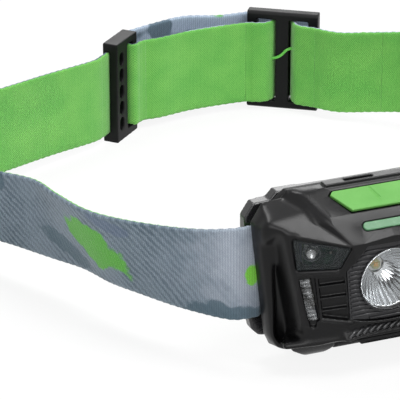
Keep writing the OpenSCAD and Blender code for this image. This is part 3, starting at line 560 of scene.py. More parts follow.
# moulded shells and buckles, made from the CAD shapes: voxel in mm, passes, triangles, soft zones
for node, name, body, slot, material, *making in (
        ("front_housing", "lamp_shell", "lamp", "shell", SHELL, 0.19, 4, 190000, shell_melt),
        ("rear_cover", "lamp_back", "lamp", "cover", COVER, 0.28, 3, 40000),
        ("bracket", "tilt_bracket", "bracket", "bracket", BRACKET, 0.28, 4, 60000),
        ("power_button", "green_button", "button", "green", BUTTON, 0.14, 7, 30000),
        ("usb_cover", "port_flap", "port_cover", "black_rubber", RUBBER, 0.14, 4, 20000),
        ("end_ring", "band_ring", "bracket", "buckle", BUCKLE, 0.2, 4, 40000),
        ("slider", "band_slider", "slider", "buckle", BUCKLE, 0.24, 4, 30000)):
    piece(name, softened(node, name, *making), body, slot, [node], material)

# plain solids with rolled edges: width of the roll and clearance, mm
for node, name, slot, material, width, clear in (
        ("left_window", "left_smoked_window", "smoke", SMOKE, 0.2, 0.15),
        ("right_window", "right_smoked_window", "smoke", SMOKE, 0.2, 0.15),
        ("label_strip", "bare_strip", "label", STRIP, 0.25, 0.0)):
    piece(name, edged(node, name, width, clear), "lamp", slot, [node], material)

# CAD nodes that keep their own mesh
for node, material in (("housing_seal", SEAL), ("cover_screws", SCREW), ("led_board", BOARD),
                       ("side_leds", WHITE), ("button_switch", SWITCH), ("battery", CELL),
                       ("usb_socket", SOCKET), ("hinge_pin", STEEL), ("click_spring", STEEL)):
    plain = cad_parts[node].data
    plain.materials.clear()
    plain.materials.append(material)


# Lamp frame and repeated parts

# mm in the lamp's own frame: the lens in the middle, its front towards -Y
FLANK_LEAN, SWEPT_X, SWEPT_A = math.radians(6.9), 9.8, math.radians(155.2)
LENS_R, LENS_Y, PANEL_Y, PANEL_T = 8.5, 0.4, 0.9, 1.6
RAIL_R, PANEL_LOW = 44.0, -10.8
CHIN_R, CHIN_MID = 60.0, -12.8
BOWL_Y, BOWL_D, BOWL_LOW, BOWL_WALL = 2.6, 7.8, 2.0, 0.6
BOARD_Y = 11.3


def on_lamp(co):
    """Lamp frame in mm to the shared frame in metres."""
    return (np.asarray(co, float) + LENS_AT) * MM


def on_left_face(co):
    """Points on the left swept face (outward along it, out of it, up) to the lamp frame, mm."""
    u, v, w = np.asarray(co, float).T
    x = -SWEPT_X + u * math.cos(SWEPT_A) - v * math.sin(SWEPT_A)
    y = u * math.sin(SWEPT_A) + v * math.cos(SWEPT_A)
    c, s = math.cos(FLANK_LEAN), math.sin(FLANK_LEAN)
    return np.stack([x * c - w * s, y, x * s + w * c], 1)


def mirrored(co):
    return co * (-1, 1, 1)


SIDES = (("left", ()), ("right", (mirrored,)))   # each side, and what turns the left one into it


def placed(mesh, *moves):
    """The mesh with its points sent through each move, its faces turned outward."""
    co = coords(mesh)
    for move in moves:
        co = move(co)
    mesh.vertices.foreach_set("co", co.ravel())
    return turned_outward(mesh, MERGE_PIECE)


def joined(name, parts):
    """One mesh from (mesh, material) pairs, each part keeping its own material."""
    work = bmesh.new()
    materials = []
    for mesh, material in parts:
        if material not in materials:
            materials.append(material)
        first = len(work.faces)
        work.from_mesh(mesh)
        work.faces.ensure_lookup_table()
        for face in work.faces[first:]:
            face.material_index = materials.index(material)
    whole = mesh_from(work, name)
    for material in materials:
        whole.materials.append(material)
    return whole


def lathe(name, outline, around=96):
    """A solid turned about the front-back axis; its (radius, depth) outline has two poles or is a ring."""
    ring = outline[0][0] > 0
    turn = np.arange(around) * 2 * math.pi / around
    verts, rows = [], []
    for r, y in outline:
        at = len(verts)
        spots = [(0.0, y, 0.0)] if r == 0 else [(r * math.cos(t), y, r * math.sin(t)) for t in turn]
        verts += spots
        rows.append([at + k % len(spots) for k in range(around)])
    faces = []
    for upper, lower in zip(rows, rows[1:] + rows[:1] if ring else rows[1:]):
        for k in range(around):
            m = (k + 1) % around
            loop = [upper[k], upper[m], lower[m], lower[k]]
            faces.append(tuple(dict.fromkeys(loop)))
    mesh = mesh_of(name, verts, faces)
    rounded_shading(mesh)
    return mesh


def dome(radius, foot, steps):
    """Outline of a half ball for the lathe, from its pole to its foot."""
    turn = [math.radians(90 * k / steps) for k in range(1, steps + 1)]
    return [(0.0, foot - radius)] + [(radius * math.sin(t), foot - radius * math.cos(t)) for t in turn]


def block(name, low, high, roll=0.15):
    """A box between two corners with rolled edges."""
    work = bmesh.new()
    bmesh.ops.create_cube(work, size=1)
    low, high = np.array(low, float), np.array(high, float)
    for v in work.verts:
        v.co = Vector(low + (np.array(v.co) + 0.5) * (high - low))
    bmesh.ops.bevel(work, geom=work.edges[:], offset=roll, segments=2, affect="EDGES", profile=0.5)
    return mesh_from(work, name)


def geo(tree, kind, inputs=None):
    """First output of a new geometry node."""
    return add(tree, "GeometryNode" + kind, inputs).outputs[0]


def grown(name, sizes, build, material, start=None):
    """A mesh grown by a geometry tree with named sizes; build wires the tree, returning its last geometry."""
    tree = bpy.data.node_groups.new(name, "GeometryNodeTree")
    tree.interface.new_socket("Geometry", in_out="INPUT", socket_type="NodeSocketGeometry")
    keys = {}
    for key, value in sizes.items():
        kind = "NodeSocketInt" if isinstance(value, int) else "NodeSocketFloat"
        keys[key] = tree.interface.new_socket(key, in_out="INPUT", socket_type=kind).identifier
    tree.interface.new_socket("Geometry", in_out="OUTPUT", socket_type="NodeSocketGeometry")
    last = build(tree, add(tree, "NodeGroupInput").outputs)
    solid = geo(tree, "RealizeInstances", {"Geometry": last})
    dressed = geo(tree, "SetMaterial", {"Geometry": solid, "Material": material})
    add(tree, "NodeGroupOutput", {"Geometry": dressed})

    def dress(holder):
        modifier = holder.modifiers.new(name, "NODES")
        modifier.node_group = tree
        for key, value in sizes.items():
            modifier[keys[key]] = value

    return baked(start or bpy.data.meshes.new(name), dress)


def round_bar(tree, sides=16):
    """A bar of unit length and unit radius along X, its side smooth."""
    bar = add(tree, "GeometryNodeMeshCylinder", {"Vertices": sides, "Radius": 1.0, "Depth": 1.0})
    smooth = geo(tree, "SetShadeSmooth", {"Geometry": bar.outputs["Mesh"], "Selection": bar.outputs["Side"]})
    return geo(tree, "Transform", {"Geometry": smooth, "Rotation": (0, math.pi / 2, 0)})


def vector(tree, x=0.0, y=0.0, z=0.0):
    return add(tree, "CombineXYZ", {"X": x, "Y": y, "Z": z}).outputs[0]


def bar_rows(tree, given):
    """Points one above the other, and their height."""
    rows = geo(tree, "MeshLine", {"Count": given["Rows"], "Offset": vector(tree, 0.0, 0.0, given["Pitch"]),
                                  "Start Location": vector(tree, 0.0, given["Face"], given["First"])})
    return rows, add(tree, "SeparateXYZ", {0: geo(tree, "InputPosition")}).outputs["Z"]


def between(tree, z, low, high):
    """Reach at height z, on the straight line between two (height, reach) points."""
    return ramp(tree, z, low[0], high[0], low[1], high[1])


def bars_on(tree, points, given, low, high):
    """Bars laid on points from low to high along X."""
    middle = times(tree, plus(tree, low, high), 0.5)
    moved = geo(tree, "SetPosition", {"Geometry": points, "Offset": vector(tree, middle)})
    size = vector(tree, minus(tree, high, low), given["Height"], given["Half Width"])
    return geo(tree, "InstanceOnPoints", {"Points": moved, "Instance": round_bar(tree), "Scale": size})


# Ribbed panel round the lens

# left side of the panel's outline as (x, height), and the field its ribs fill as (height, half width), mm
PANEL_SIDE = [(-11.2, -9.6), (-12.4, 4.2), (-7, 10.3)]
FIELD_LOW, FIELD_WAIST, FIELD_TOP = (-9.4, 10.8), (4.04, 12.0), (9.9, 6.84)
FIELD_INSET, PANEL_HOLE_R, PANEL_ROLL = 0.4, 8.2, 0.12


def panel_ribs(tree, given):
    """Ribs left and right of the lens, from its rim to the panel's edge."""
    rows, z = bar_rows(tree, given)
    gone = minus(tree, times(tree, given["Lens"], given["Lens"]), times(tree, z, z))
    inner = calc(tree, "SQRT", calc(tree, "MAXIMUM", gone, 0.0))
    side = between(tree, z, FIELD_LOW, FIELD_WAIST)
    top = between(tree, z, FIELD_WAIST, FIELD_TOP)
    low = calc(tree, "SQRT", times(tree, plus(tree, z, -PANEL_LOW - FIELD_INSET), 2 * RAIL_R))
    outer = calc(tree, "MINIMUM", calc(tree, "MINIMUM", side, top), low)
    right = bars_on(tree, rows, given, inner, outer)
    left = bars_on(tree, rows, given, times(tree, outer, -1.0), times(tree, inner, -1.0))
    both = add(tree, "GeometryNodeJoinGeometry")
    tree.links.new(right, both.inputs[0])
    tree.links.new(left, both.inputs[0])
    return both.outputs[0]


def stood(co):
    """Points of the flat panel stood up in their place round the lens."""
    return np.stack([co[:, 0], PANEL_Y + PANEL_T / 2 - co[:, 2], co[:, 1]], 1)


def panel_plate():
    """Six-sided plate with a round hole and rolled edges, drawn flat and stood up."""
    half = [(x, PANEL_LOW + x * x / (2 * RAIL_R)) for x in (-1, -4, -7, -10)] + PANEL_SIDE
    turn = np.arange(96) * 2 * math.pi / 96
    hole = [(PANEL_HOLE_R * math.cos(t), PANEL_HOLE_R * math.sin(t)) for t in turn]
    flat = bpy.data.curves.new("panel_plate", "CURVE")
    flat.dimensions, flat.fill_mode, flat.extrude = "2D", "BOTH", PANEL_T / 2 - PANEL_ROLL
    flat.bevel_depth, flat.bevel_resolution, flat.offset = PANEL_ROLL, 2, -PANEL_ROLL
    for loop in (half + [(-x, z) for x, z in reversed(half)], hole):
        line = flat.splines.new("POLY")
        line.points.add(len(loop) - 1)
        for point, (x, z) in zip(line.points, loop):
            point.co = (x, z, 0, 1)
        line.use_cyclic_u = True
    return placed(baked(flat), stood, on_lamp)


ribs = grown("panel_ribs", {"Rows": 16, "First": -10.0, "Pitch": 1.25, "Face": PANEL_Y, "Lens": 8.85,
                            "Half Width": 0.36, "Height": 0.44}, panel_ribs, PANEL)
rim = [(LENS_R + out, y) for out, y in ((0.12, 1.4), (0.12, 0.45), (0.2, 0.38), (0.34, 0.4), (0.4, 0.5),
                                        (0.4, 1.4))]
panel_parts = [panel_plate(), placed(ribs, on_lamp), placed(lathe("rim_ring", rim), on_lamp)]
piece("ribbed_panel", joined("ribbed_panel", [(mesh, PANEL) for mesh in panel_parts]), "lamp", "panel",
      ["lens_panel"])


# Main light: cover lens, fluted bowl and LED

LENS_RISE, LENS_CURVE = 1.0, 36.0
LENS_T, LENS_EDGE, LENS_ROLL, LENS_FACE_R = 1.35, 1.4, 0.15, LENS_R * 0.985
LED_T, LED_HALF, LED_DOME_R = 0.8, 1.75, 1.3
LED_FACE = BOARD_Y - LED_T
DIE_HALF, DIE_T = 0.45, 0.2


def lens_front(r):
    return LENS_Y - LENS_RISE + r * r / (2 * LENS_CURVE)


def fluted_bowl(tree, given):
    """A grid bent into a dish: its inner face scalloped by radial flutes, its outer face plain."""
    grid = geo(tree, "MeshGrid", {"Size X": 1.0, "Size Y": 2.0, "Vertices X": given["Around"],
                                  "Vertices Y": given["Rows"]})
    place = add(tree, "SeparateXYZ", {0: geo(tree, "InputPosition")})
    turn = times(tree, place.outputs["X"], 2 * math.pi)
    s = plus(tree, place.outputs["Y"], 1.0)
    up = minus(tree, 1.0, calc(tree, "ABSOLUTE", minus(tree, 1.0, s)))
    mouth, bottom = given["Mouth Radius"], given["Low Radius"]
    r = plus(tree, bottom, times(tree, up, minus(tree, mouth, bottom)))
    mouth2 = times(tree, mouth, mouth)
    fall = calc(tree, "DIVIDE", minus(tree, mouth2, times(tree, r, r)),
                minus(tree, mouth2, times(tree, bottom, bottom)))
    outside = times(tree, calc(tree, "GREATER_THAN", s, 1.001), calc(tree, "LESS_THAN", s, 1.999))
    flute = calc(tree, "ABSOLUTE", calc(tree, "SINE", times(tree, turn, times(tree, given["Flutes"], 0.5))))
    scoop = times(tree, times(tree, flute, given["Flute Depth"]), times(tree, minus(tree, 1.0, outside), up))
    reach = plus(tree, plus(tree, r, times(tree, outside, given["Wall"])), scoop)
    spot = vector(tree, times(tree, reach, calc(tree, "COSINE", turn)), times(tree, given["Depth"], fall),
                  times(tree, reach, calc(tree, "SINE", turn)))
    bent = geo(tree, "SetPosition", {"Geometry": grid, "Position": spot})
    shut = geo(tree, "MergeByDistance", {"Geometry": bent, "Distance": 0.0005})
    return geo(tree, "SetShadeSmooth", {"Geometry": shut})


def behind_lens(co):
    return co + (0, BOWL_Y, 0)


steps = [LENS_FACE_R * k / 20 for k in range(21)]
lens = [(r, lens_front(r)) for r in steps]
lens += [(LENS_R, LENS_Y + LENS_ROLL), (LENS_R, LENS_Y + LENS_EDGE - LENS_ROLL),
         (LENS_R - LENS_ROLL, LENS_Y + LENS_EDGE)]
lens += [(r, lens_front(r) + LENS_T) for r in reversed(steps[:-1])]
piece("clear_lens_disc", placed(lathe("clear_lens_disc", lens, 128), on_lamp), "lamp", "clear", ["main_lens"],
      CLEAR)

bowl = grown("fluted_bowl", {"Around": 241, "Rows": 49, "Low Radius": BOWL_LOW, "Mouth Radius": LENS_R - 0.4,
                             "Depth": BOWL_D, "Wall": BOWL_WALL, "Flutes": 30, "Flute Depth": 0.22},
             fluted_bowl, BOWL)
piece("bright_bowl", placed(bowl, behind_lens, on_lamp), "lamp", "mirror", ["reflector"], BOWL)

disc = [(r, LED_FACE + y) for r, y in ((0.0, -0.12), (1.16, -0.12), (1.2, -0.08), (1.2, 0.05), (0.0, 0.05))]
ball = dome(LED_DOME_R, LED_FACE, 12) + [(0.0, LED_FACE)]
led_parts = [
    (block("led_base", (-LED_HALF, LED_FACE, -LED_HALF), (LED_HALF, BOARD_Y, LED_HALF)), CERAMIC),
    (lathe("led_phosphor", disc, 48), PHOSPHOR),
    (block("led_die", (-DIE_HALF, LED_FACE - DIE_T, -DIE_HALF), (DIE_HALF, LED_FACE, DIE_HALF), 0.05), DIE),
    (lathe("led_dome", ball, 48), CLEAR)]
piece("bright_led", joined("bright_led", [(placed(mesh, on_lamp), material) for mesh, material in led_parts]),
      "lamp", "die", ["main_led"])


# Window lights and side lights, left and right

LED_SPOT = np.array([10.9, -2.5, 10.1])   # middle of the window light on the swept face, mm
HOLDER = (9.2, -4.9, 8.3), (12.6, -4.1, 11.9)   # corners of the light's holder on the swept face
LEG = (-19.4, 9, 6.9), (-17.4, BOARD_Y, 8.4)   # corners of the leg back to the board
SIDE_NEAR = (-7.5, 11.0), (4.3, 12.0)   # near edge of the side light: (height, reach), low and high
SIDE_FAR = (-7.5, 13.3), (4.3, 14.5)
SIDE_T, SIDE_ROLL, BAR_INSET = 2.2, 0.12, 0.1


def at_led(co):
    """Turned pieces (front at lower depth) to the window light's own place on the swept face."""
    return np.stack([co[:, 0], -co[:, 1], co[:, 2]], 1) + LED_SPOT


def window_light(over):
    """Bulb, silvered core, cup, holder and leg of one window light; over takes them to its side."""
    bulb = dome(1.25, 0.0, 10) + [(1.25, 1.2), (1.45, 1.25), (1.45, 1.6), (0.0, 1.6)]
    core = [(0.0, 0.5), (0.35, 0.45), (0.85, -0.1), (0.98, -0.1), (0.98, 1.3), (0.0, 1.3)]
    cup = [(1.55, 1.5), (1.75, 0.9), (2.15, 0.3), (2.3, 0.25), (2.35, 0.4), (1.95, 1.2), (1.8, 1.6)]
    turned = [(lathe("bulb", bulb, 48), CLEAR), (lathe("core", core, 40), SILVER),
              (lathe("cup", cup, 56), CUP)]
    parts = [(placed(mesh, at_led, on_left_face, *over, on_lamp), material) for mesh, material in turned]
    holder = placed(block("holder", *HOLDER), on_left_face, *over, on_lamp)
    leg = placed(block("leg", *LEG), *over, on_lamp)
    return parts + [(holder, WHITE), (leg, WHITE)]


def side_bars(tree, given):
    """Half-round bars up the side light, as long as it is wide there."""
    rows, z = bar_rows(tree, given)
    near = plus(tree, between(tree, z, *SIDE_NEAR), BAR_INSET)
    far = minus(tree, between(tree, z, *SIDE_FAR), BAR_INSET)
    return bars_on(tree, rows, given, near, far)


def side_light(over):
    """Slab of one side light with bars up its face; over takes them to its side."""
    plate = [SIDE_NEAR[1], SIDE_FAR[1], SIDE_FAR[0], SIDE_NEAR[0]]
    verts = [(u, v, w) for v in (-SIDE_T, 0.0) for w, u in plate]
    faces = [(0, 1, 2, 3), (7, 6, 5, 4)] + [(k, k + 4, (k + 1) % 4 + 4, (k + 1) % 4) for k in range(4)]
    slab = modified(mesh_of("slab", verts, faces), "BEVEL", width=SIDE_ROLL, segments=2, limit_method="NONE")
    bars = grown("side_bars", {"Rows": 11, "First": -6.9, "Pitch": 1.05, "Face": 0.02, "Half Width": 0.36,
                               "Height": 0.42}, side_bars, RIBBED)
    return [(placed(mesh, on_left_face, *over, on_lamp), RIBBED) for mesh in (slab, bars)]


lights = [part for side, over in SIDES for part in window_light(over)]
piece("window_lights", joined("window_lights", lights), "lamp", "white", ["window_leds"])
for side, over in SIDES:
    name = side + "_side_light"
    piece(name, joined(name, side_light(over)), "lamp", "clear", [side + "_side_lens"])


# Grip ridges on the chin lip

RIDGE_SLOPE = math.radians(32)
LIP_SHARE = math.sqrt(0.5)   # sine and cosine of the lip's 45 degree face
RIDGE_CLIMB = math.sin(RIDGE_SLOPE) * LIP_SHARE
RIDGE_ALONG = Vector((math.cos(RIDGE_SLOPE), RIDGE_CLIMB, RIDGE_CLIMB))
RIDGE_OUT = Vector((0, -LIP_SHARE, LIP_SHARE))
RIDGE_TURN = Matrix((RIDGE_ALONG, RIDGE_OUT, RIDGE_ALONG.cross(RIDGE_OUT))).transposed().to_euler()


def chin_ridges(tree, given):
    """Slanted ridges set round the arch of the chin lip."""
    middle = vector(tree, 0.0, given["Face"], given["Height"])
    spots = geo(tree, "MeshLine", {"Count": given["Count"], "Start Location": middle, "Offset": (0, 0, 0)})
    size = vector(tree, given["Length"], given["Proud"], given["Half Width"])
    bars = geo(tree, "InstanceOnPoints", {"Points": spots, "Instance": round_bar(tree, 12), "Scale": size,
                                          "Rotation": tuple(RIDGE_TURN)})
    from_mid = minus(tree, geo(tree, "InputIndex"), times(tree, minus(tree, given["Count"], 1.0), 0.5))
    turn = times(tree, from_mid, calc(tree, "DIVIDE", given["Pitch"], given["Radius"]))
    pivot = vector(tree, 0.0, 0.0, minus(tree, CHIN_MID, given["Radius"]))
    return geo(tree, "RotateInstances", {"Instances": bars, "Pivot Point": pivot, "Local Space": False,
                                         "Rotation": vector(tree, 0.0, turn)})


ridges = grown("chin_ridges", {"Count": 12, "Pitch": 1.9, "Radius": CHIN_R, "Face": 0.72,
                               "Height": CHIN_MID + 0.22, "Length": 3.4, "Half Width": 0.36, "Proud": 0.36},
               chin_ridges, RIDGE_PAINTED_LIT)
piece("chin_ridges", placed(ridges, on_lamp), "lamp", "shell", [], RIDGE_PAINTED_LIT)


# Forehead pad: crowned foam with sewn channels

PAD_BACK, PAD_TOP, PAD_HALF, PAD_HIGH = 25.6, 29.0, 20.6, 16.8
PAD_CORNER, PAD_TAPER, PAD_WAIST, PAD_ROLL = 12.2, 4.2, 0.5, 2.4
# shares: height at the edge, fall of the crown, size of the foot, bow of the ends, roundness of the corners
PAD_EDGE, PAD_FALL, PAD_FOOT, PAD_BOW, PAD_ROUND = 0.3, 0.25, 0.985, 0.02, 0.96
CHANNELS, CHANNEL_DEEP, CHANNEL_HALF = np.arange(-12, 13, 6), 1.15, 0.75
RAY_FROM = 40   # mm behind the lens from which stitches are dropped onto the pad


def pad_mesh(rows=97, columns=141):
    """Closed pad: flat where it rests, crowned towards the head, sides drawn in between the corners."""
    w = np.sin(np.linspace(-math.pi / 2, math.pi / 2, rows)) * PAD_HIGH
    share = np.sin(np.linspace(-math.pi / 2, math.pi / 2, columns))
    past = np.clip((np.abs(w) - PAD_CORNER) / (PAD_HIGH - PAD_CORNER), 0, 1)
    half = PAD_HALF - PAD_WAIST * (1 - (w / PAD_HIGH) ** 2)
    half -= PAD_TAPER * (1 - np.sqrt(1 - past ** 2 * PAD_ROUND))
    x = share[None] * half[:, None]
    z = np.repeat(w[:, None], columns, 1) * (1 - PAD_BOW * (1 - share[None] ** 2))
    edge = np.minimum(half[:, None] * (1 - np.abs(share[None])), PAD_HIGH - np.abs(z))
    roll = np.sqrt(1 - (1 - np.clip(edge / PAD_ROLL, 0, 1)) ** 2)
    crown = 1 - PAD_FALL * (x / PAD_HALF) ** 2 - PAD_FALL * (z / PAD_HIGH) ** 2
    height = (PAD_TOP - PAD_BACK) * (PAD_EDGE + (1 - PAD_EDGE) * roll * crown)
    for c in CHANNELS:
        height -= CHANNEL_DEEP * np.exp(-((x - c) / CHANNEL_HALF) ** 2) * roll * crown
    top = np.stack([x, PAD_BACK + height, z], -1).reshape(-1, 3)
    foot = np.stack([x * PAD_FOOT, np.full_like(x, PAD_BACK), z * PAD_FOOT], -1).reshape(-1, 3)
    i, j = np.meshgrid(np.arange(rows - 1), np.arange(columns - 1), indexing="ij")
    a = i * columns + j
    quad = np.stack([a, a + 1, a + columns + 1, a + columns], -1).reshape(-1, 4)
    lift = rows * columns
    border = list(range(columns))
    border += [k * columns + columns - 1 for k in range(1, rows)]
    border += [(rows - 1) * columns + k for k in range(columns - 2, -1, -1)]
    border += [k * columns for k in range(rows - 2, 0, -1)]
    sides = [(p, q, q + lift, p + lift) for p, q in zip(border, border[1:] + border[:1])]
    faces = [tuple(f) for f in np.concatenate([quad, quad + lift])] + sides
    mesh = mesh_of("channelled_pad", np.concatenate([top, foot]), faces)
    rounded_shading(mesh)
    return placed(mesh, on_lamp)


def pad_stitches(tree, given):
    """Stitches dropped onto the pad along its channels."""
    grid = geo(tree, "MeshGrid", {"Size X": given["Width"], "Size Y": given["Length"],
                                  "Vertices X": given["Channels"], "Vertices Y": given["Stitches"]})
    over = geo(tree, "Transform", {"Geometry": grid, "Rotation": (math.pi / 2, 0, 0),
                                   "Translation": vector(tree, 0.0, given["Over"], given["Middle"])})
    hit = add(tree, "GeometryNodeRaycast", {"Target Geometry": given["Geometry"], "Ray Direction": (0, -1, 0),
                                            "Ray Length": 0.05})
    laid = geo(tree, "SetPosition", {"Geometry": over, "Position": hit.outputs["Hit Position"]})
    bead = geo(tree, "MeshUVSphere", {"Segments": 8, "Rings": 6, "Radius": 1.0})
    smooth = geo(tree, "SetShadeSmooth", {"Geometry": bead})
    size = vector(tree, given["Thick"], given["Thick"], given["Long"])
    return geo(tree, "InstanceOnPoints", {"Points": laid, "Instance": smooth, "Scale": size})


pad_shape = pad_mesh()
stitch_sizes = {"Channels": len(CHANNELS), "Width": float(CHANNELS[-1] - CHANNELS[0]) * MM, "Stitches": 14,
                "Length": 28 * MM, "Over": float(LENS_AT[1] + RAY_FROM) * MM,
                "Middle": float(LENS_AT[2]) * MM, "Thick": 0.22 * MM, "Long": 0.8 * MM}
stitches = grown("pad_stitches", stitch_sizes, pad_stitches, STITCH, pad_shape)
pad = piece("channelled_pad", joined("channelled_pad", [(pad_shape, KNIT), (stitches, STITCH)]), "bracket",
            "foam", ["forehead_pad"])


# Woven band

STRAP_W, STRAP_T = 26.1, 1.5
CAMO_EDGE = -0.9   # how far round the edges the camouflage face reaches: -2 all the way, 2 not at all
BACK_Z = -10.75
RING_AT, RING_TURN = (-6.8, 173.8), math.radians(42)
SLIDER_AT, SLIDER_TURN = (47.2, 175.2), math.radians(-35)
# relief of the weave, mm: (height, pitch) of its picks and of two waves along its edges, room kept for them
PICKS, EDGE_WAVES = (0.028, 1.2), ((0.07, 2.3), (0.03, 0.83))
FACE_ROOM, EDGE_ROOM, RELIEF_FADE = 0.03, 0.06, 1.5
PICK_SWAY, SWAY_RATE = 0.9, 4.1   # how far picks wander across the band, radians, and how often, per mm
EDGE_BOW, EDGE_FROM = 0.8, 0.9   # roundness of the edges, share of the half width where they begin


def seat(at, turn, s, n, z):
    """A point in a buckle's own frame: along the band, outward, height."""
    c, d = math.cos(turn), math.sin(turn)
    return (at[0] + s * c - n * d, at[1] + s * d + n * c, z, 0)


def at_ring(s, n, up=0.0):
    return seat(RING_AT, RING_TURN, s, n, BACK_Z + up)


def at_slider(s, n, up=0.0):
    return seat(SLIDER_AT, SLIDER_TURN, s, n, BACK_Z + up)


# listed points of the band: x, y, height, outward lean of the top edge
SLOT_RUN = [(x, y, -0.4, 0) for x, y in (
    (-20, 24.55), (-23, 24.55), (-25.1, 24.52), (-26.14, 24.2), (-26.7, 23.2), (-27.5, 21.75), (-28.3, 20.3),
    (-28.86, 19.3), (-29.9, 18.98), (-33.4, 18.95))] + [(-36.5, 19.9, -0.5, 2)]
LEFT_FAR = [
    (-42, 24.6, -0.9, 9), (-48.6, 32.6, -1.4, 15), (-54.8, 42.6, -2, 20), (-60, 52, -2.2, 22),
    (-63.2, 64.5, -2.6, 21), (-67, 75.8, -3, 15), (-74.4, 89.4, -3.8, 18), (-81, 103, -4.8, 16),
    (-83.6, 118, -5.8, 12), (-80, 133, -7, 8), (-70.5, 143.6, -8, 4), (-54, 150.4, -9, 1), (-35, 159, -10, 0)]
LEFT_END = [at_ring(-15, 2), at_ring(-10, 1.15), at_ring(-6.6, 1.1), at_ring(-3, 1.1), at_ring(-2, 1.1)]
RIGHT_FAR = [
    (42, 24.6, -0.9, -8), (48.6, 32.6, -1.4, -13), (55.4, 43.6, -2, -17), (63, 58, -2.6, -18),
    (70, 74, -3.2, -17), (77, 91, -4, -15), (82.4, 108, -5, -12), (83.6, 122, -6.4, -8), (81, 135, -7.6, -4),
    (76, 146, -8.8, -1), (69.4, 151.4, -9.6, 0)]
RIGHT_IN, LEFT_IN = at_slider(11, -4.85), at_slider(-11, -4.85)
RIGHT_END = [at_slider(20, -6.75), at_slider(15, -6.25), RIGHT_IN]
WEAVE_HALF = [(-11, -4.85), (-8, -4.25), (-5.2, -3.45), (-3.8, -1.65), (-3.1, 0), (-3.15, 1.6), (-2.35, 2.9),
              (-1, 3.0)]
TURN_IN, TURN_OUT = at_ring(7.8, -4.4), at_ring(7.8, 3.95, 0.6)
RING_IN, RING_OUT = at_ring(5.2, -3.5), at_ring(5.2, 3.5, 0.5)
INNER_FIRST, INNER_LAST = (7, 175.8, BACK_Z, 0), (27.4, 177.9, BACK_Z, 0)
OUTER_FIRST = (9, 184.4, BACK_Z + 1.4, 0)
TURN = [INNER_FIRST, TURN_IN, RING_IN, at_ring(3.8, -3.46), at_ring(3.02, -3.12), at_ring(2.72, -2.2, 0.1),
        at_ring(2.7, 0, 0.2), at_ring(2.72, 2.2, 0.3), at_ring(3.02, 3.12, 0.4), at_ring(3.8, 3.46, 0.4),
        RING_OUT, TURN_OUT, OUTER_FIRST]
INNER = [RING_IN, TURN_IN, INNER_FIRST, (17, 177.6, BACK_Z, 0), INNER_LAST, LEFT_IN, at_slider(-8, -4.25)]
OUTER = [RING_OUT, TURN_OUT, OUTER_FIRST, (19, 185.8, BACK_Z + 1.6, 0), (29.5, 183.4, BACK_Z + 1.2, 0),
         at_slider(-10.5, 4.0, 0.4), at_slider(-4.2, 4.6, 0.2), at_slider(0, 4.7), at_slider(4.6, 4.7),
         at_slider(9.6, 4.7), at_slider(11, 4.7)]
WEAVE = ([INNER_LAST] + [at_slider(*p) for p in WEAVE_HALF] + [at_slider(0, 3.0)]
         + [at_slider(-s, n) for s, n in reversed(WEAVE_HALF)] + [RIGHT_END[1]])
CENTER = [(x, 24.55, -0.4, 0) for x in (26, 23, 12, 0, -12, -23, -26)]


def flipped(points):
    return [(-x, y, z, -lean) for x, y, z, lean in points]


def smooth_run(points, step):
    """Samples of a smooth curve through the points, and its headings; the end points only steer it."""
    p = np.array(points, float)
    out = []
    for i in range(1, len(p) - 2):
        a, b, c, d = p[i - 1:i + 3]
        n = max(3, int(np.linalg.norm((c - b)[:3]) / step))
        t = (np.arange(n) / n)[:, None]
        bend = (2 * a - 5 * b + 4 * c - d) * t ** 2 + (3 * b - a - 3 * c + d) * t ** 3
        out.append(0.5 * (2 * b + (c - a) * t + bend))
    out.append(p[-2:-1])
    s = np.concatenate(out)
    h = np.gradient(s[:, :2], axis=0)
    h[0], h[-1] = p[2, :2] - p[0, :2], p[-1, :2] - p[-3, :2]
    return s, h / np.linalg.norm(h, axis=1)[:, None]


def band_profile(across=24, corner=4):
    """Outline of the band's section: share of half width, share of half thickness."""
    flat = 1 - STRAP_T / STRAP_W * EDGE_BOW
    face = [(flat - 2 * flat * k / across) for k in range(across + 1)]
    turn = [math.pi * (k + 1) / (corner + 1) for k in range(corner)]
    bow = 1 - flat
    outline = [(u, 1.0) for u in face] + [(-flat - bow * math.sin(t), math.cos(t)) for t in turn]
    outline += [(-u, -1.0) for u in face] + [(flat + bow * math.sin(t), -math.cos(t)) for t in turn]
    return np.array(outline).T


